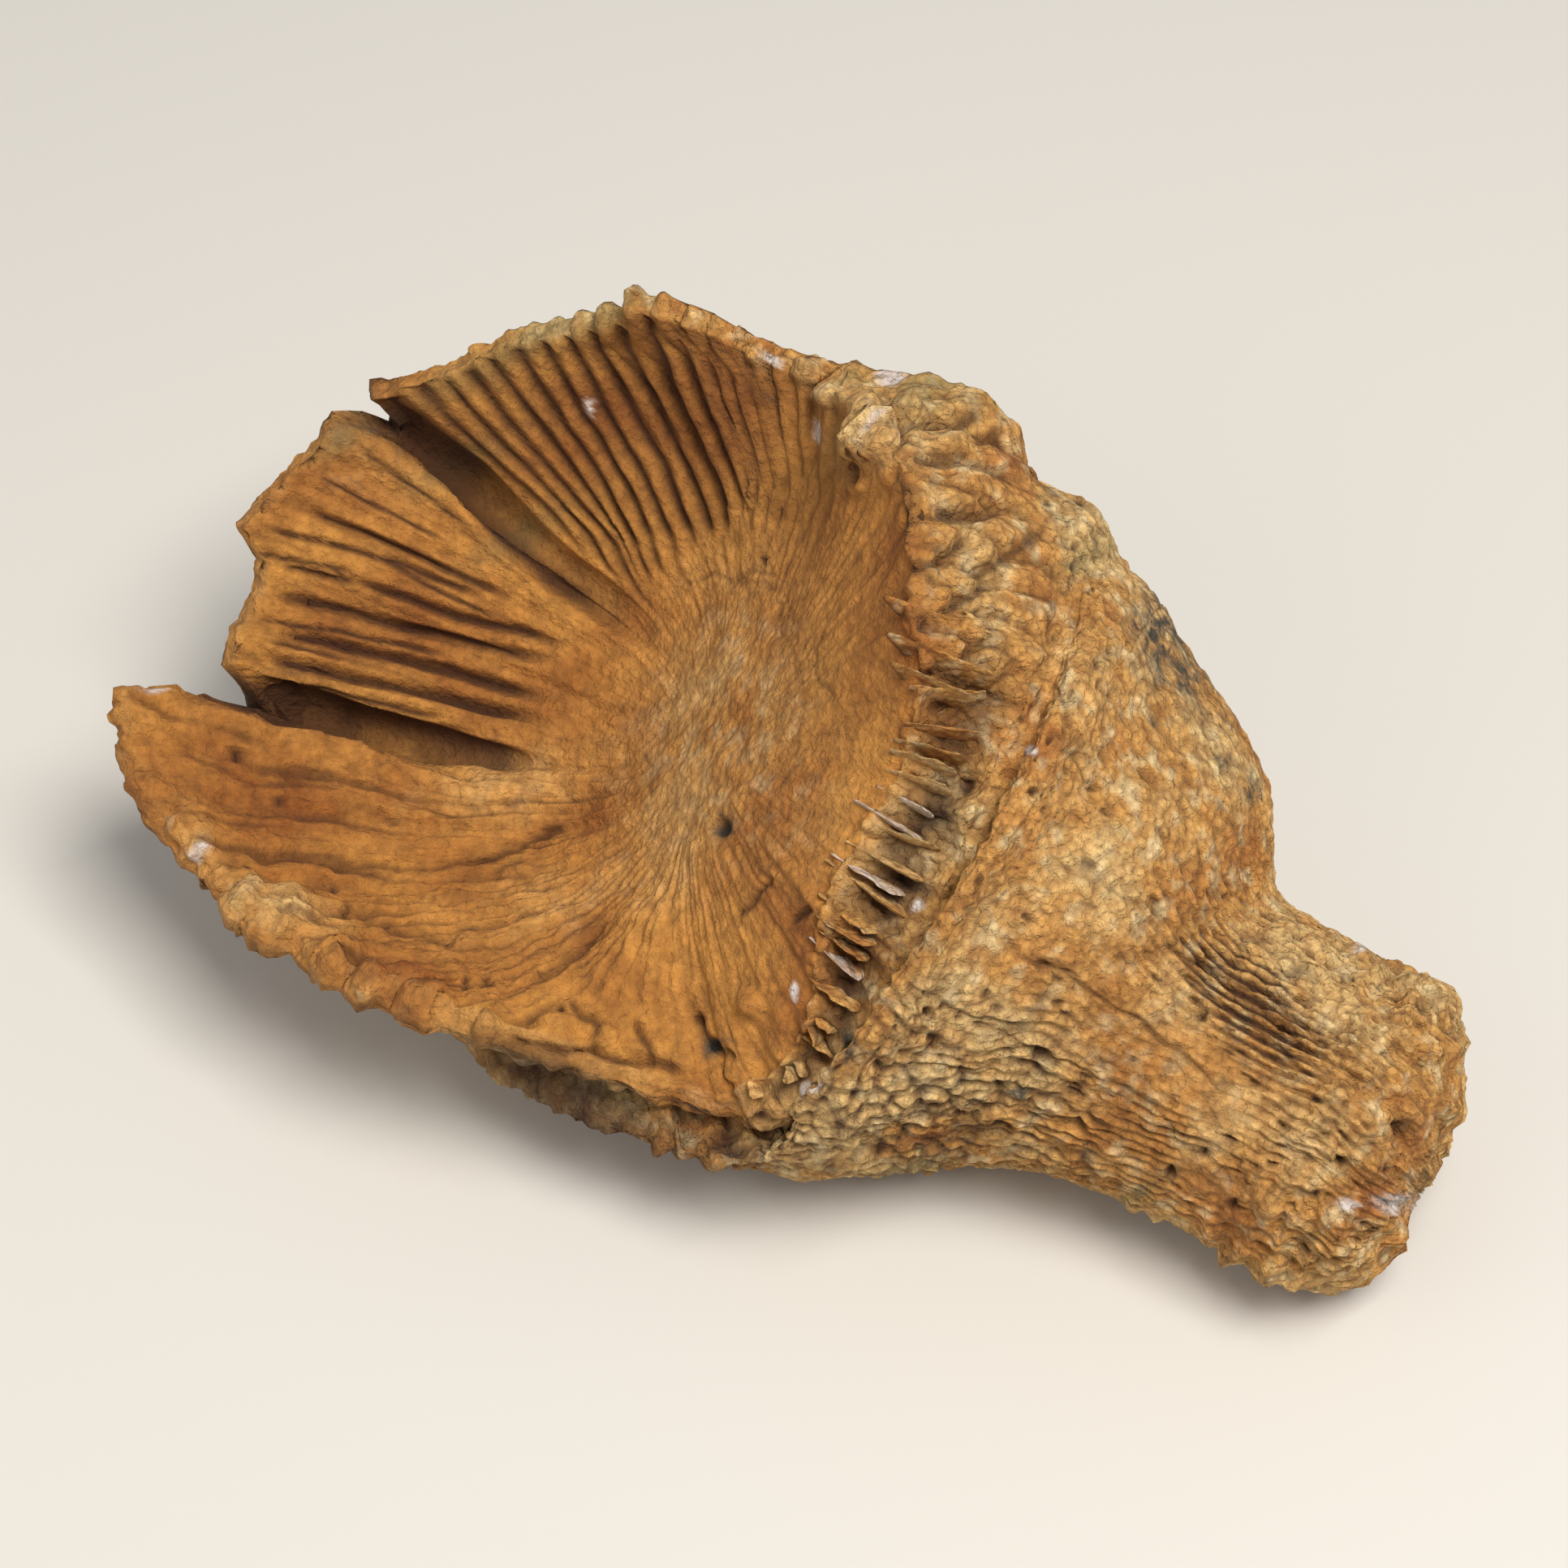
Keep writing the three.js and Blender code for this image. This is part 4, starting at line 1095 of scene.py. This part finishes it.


# Weathered limestone that replaced the coral: dull, powdery grain, iron-stained ochre, with painted shade in
# the hollows and a painted green reflection.
# The vertex numbers say where each layer lies over the one before.
def makeLimestone():
    mat = bpy.data.materials.new("weathered_limestone")
    mat.use_nodes = True
    tree = mat.node_tree
    tree.nodes.clear()
    out = add(tree, "ShaderNodeOutputMaterial")
    place = (add(tree, "ShaderNodeTexCoord"), "Object")
    noises = {}
    for name, (size, detail, roughness) in stone["noises"].items():
        noises[name] = (add(tree, "ShaderNodeTexNoise", {"Vector": place, "Scale": 1 / (size * metre),
                                                         "Detail": detail, "Roughness": roughness}), "Fac")
    granule = (add(tree, "ShaderNodeTexVoronoi", {"Vector": place, "Scale": 1 / (stone["granule"] * metre)}),
               "Distance")
    lies = {name: (add(tree, "ShaderNodeAttribute", attribute_name=name), "Fac")
            for name in ("inside", "hollow", "calcite", "stain", "moss")}
    tints = {}
    for name, source, stops in (
            ("wall", noises["blotch"], [(0.32, "rust"), (0.47, "ochre"), (0.62, "cream")]),
            ("cup", noises["blotch"], [(0.3, "cupDark"), (0.6, "cupLight")]),
            ("fleck", noises["speck"], [(0.3, "fleck"), (0.6, "clean")]),
            ("granule", granule, [(0.3, "clean"), (0.75, "gap")])):
        node = add(tree, "ShaderNodeValToRGB", {"Fac": source})
        ramp(node, [(at, stone[key]) for at, key in stops])
        tints[name] = (node, 0)
    amounts = {}
    for name, source, low, high, least, most in (
            ("pale", noises["mottle"], 0.52, 0.68, 0.0, 0.75),
            ("rust", noises["mottle"], 0.45, 0.32, 0.0, 0.42),
            ("granule", lies["inside"], 0.0, 1.0, 0.5, 0.2),
            ("sooty", noises["speck"], 0.62, 0.42, 0.15, 1.0),
            ("chalky", noises["speck"], 0.36, 0.56, 0.25, 0.95)):
        amounts[name] = (add(tree, "ShaderNodeMapRange", {0: source, 1: low, 2: high, 3: least, 4: most}), 0)
    for name, factor in (("moss", 0.5), ("hollow", 0.93), ("stain", amounts["sooty"]),
                         ("calcite", amounts["chalky"])):
        amounts[name] = (add(tree, "ShaderNodeMath", {0: lies[name], 1: factor}, operation="MULTIPLY"), 0)
    surface = tints["wall"]
    # Layers over the wall colour: the olive mix is a painted green reflection and the groove mix painted
    # shade
    for amount, tone, blend in (
            (amounts["pale"], "pale", "MIX"), (amounts["rust"], "rust", "MIX"),
            (lies["inside"], tints["cup"], "MIX"), (0.6, tints["fleck"], "MULTIPLY"),
            (amounts["granule"], tints["granule"], "MULTIPLY"), (amounts["moss"], "moss", "MIX"),
            (amounts["hollow"], "groove", "MIX"), (amounts["stain"], "stain", "MIX"),
            (amounts["calcite"], "calcite", "MIX")):
        tone = colour(stone[tone]) if isinstance(tone, str) else tone
        layer = add(tree, "ShaderNodeMix", {0: amount, 6: surface, 7: tone}, data_type="RGBA",
                    blend_type=blend)
        surface = (layer, 2)
    dome = add(tree, "ShaderNodeMath", {0: granule, 1: -1.0}, operation="MULTIPLY")
    bead = add(tree, "ShaderNodeBump", {"Height": (dome, 0), "Strength": amounts["granule"],
                                        "Distance": stone["granuleHeight"] * metre})
    bump = add(tree, "ShaderNodeBump", {"Height": noises["grain"], "Strength": 0.9, "Normal": (bead, 0),
                                        "Distance": stone["grainHeight"] * metre})
    shader = add(tree, "ShaderNodeBsdfPrincipled", {"Base Color": surface, "Roughness": stone["roughness"],
                                                    "Normal": (bump, 0)})
    tree.links.new(shader.outputs[0], out.inputs[0])
    return mat


limestone = makeLimestone()
for piece in (stem, wallPiece, cupPiece, bladePiece):
    piece.data.materials.append(limestone)

# Studio: pale floor, soft lights and the camera, in metres. A light is place, size, power and tone.
studio = {
    "floor": "#D9D6D0", "floorSize": 1.6, "floorRoughness": 0.95, "world": 0.3, "aim": (0, 0, 0.015),
    "lights": {"key": ((0.12, -0.16, 0.45), 0.22, 2.45, (1.0, 0.96, 0.9)),
               "fill": ((-0.35, -0.25, 0.3), 0.4, 0.45, (1.0, 0.98, 0.95))},
}


# Flat square that the coral lies on, of matte paper: pale, with no gloss
def makeFloor():
    h = studio["floorSize"]
    mesh = bpy.data.meshes.new("floor")
    mesh.from_pydata([(-h, -h, 0), (h, -h, 0), (h, h, 0), (-h, h, 0)], [], [(0, 1, 2, 3)])
    floor = bpy.data.objects.new("floor", mesh)
    bpy.context.scene.collection.objects.link(floor)
    mat = bpy.data.materials.new("matte_paper")
    mat.use_nodes = True
    shader = mat.node_tree.nodes["Principled BSDF"]
    shader.inputs["Base Color"].default_value = colour(studio["floor"])
    shader.inputs["Roughness"].default_value = studio["floorRoughness"]
    mesh.materials.append(mat)


# Square area light, turned to look at the aim
def makeLight(name, place, size, power, tone):
    data = bpy.data.lights.new(name, "AREA")
    data.size, data.energy, data.color = size, power, tone
    light = bpy.data.objects.new(name, data)
    bpy.context.scene.collection.objects.link(light)
    light.location = place
    light.rotation_euler = (Vector(studio["aim"]) - Vector(place)).to_track_quat("-Z", "Y").to_euler()


# Camera at the view's distance from its target, raised by the elevation
def makeCamera():
    data = bpy.data.cameras.new("camera")
    data.lens = view["lens"]
    data.sensor_width = view["sensor"]
    data.clip_start = 0.01
    camera = bpy.data.objects.new("camera", data)
    bpy.context.scene.collection.objects.link(camera)
    e = math.radians(view["elevation"])
    t = view["target"]
    camera.location = (t[0] * metre, (t[1] - view["distance"] * math.cos(e)) * metre,
                       (t[2] + view["distance"] * math.sin(e)) * metre)
    camera.rotation_euler = (math.pi / 2 - e, 0, 0)
    bpy.context.scene.camera = camera


print("coral: studio")
makeFloor()
for name, values in studio["lights"].items():
    makeLight(name, *values)
makeCamera()
world = bpy.data.worlds.new("studio")
bpy.context.scene.world = world
world.use_nodes = True
world.node_tree.nodes["Background"].inputs[0].default_value = (1, 1, 1, 1)
world.node_tree.nodes["Background"].inputs[1].default_value = studio["world"]
bpy.context.scene.view_settings.view_transform = "Standard"
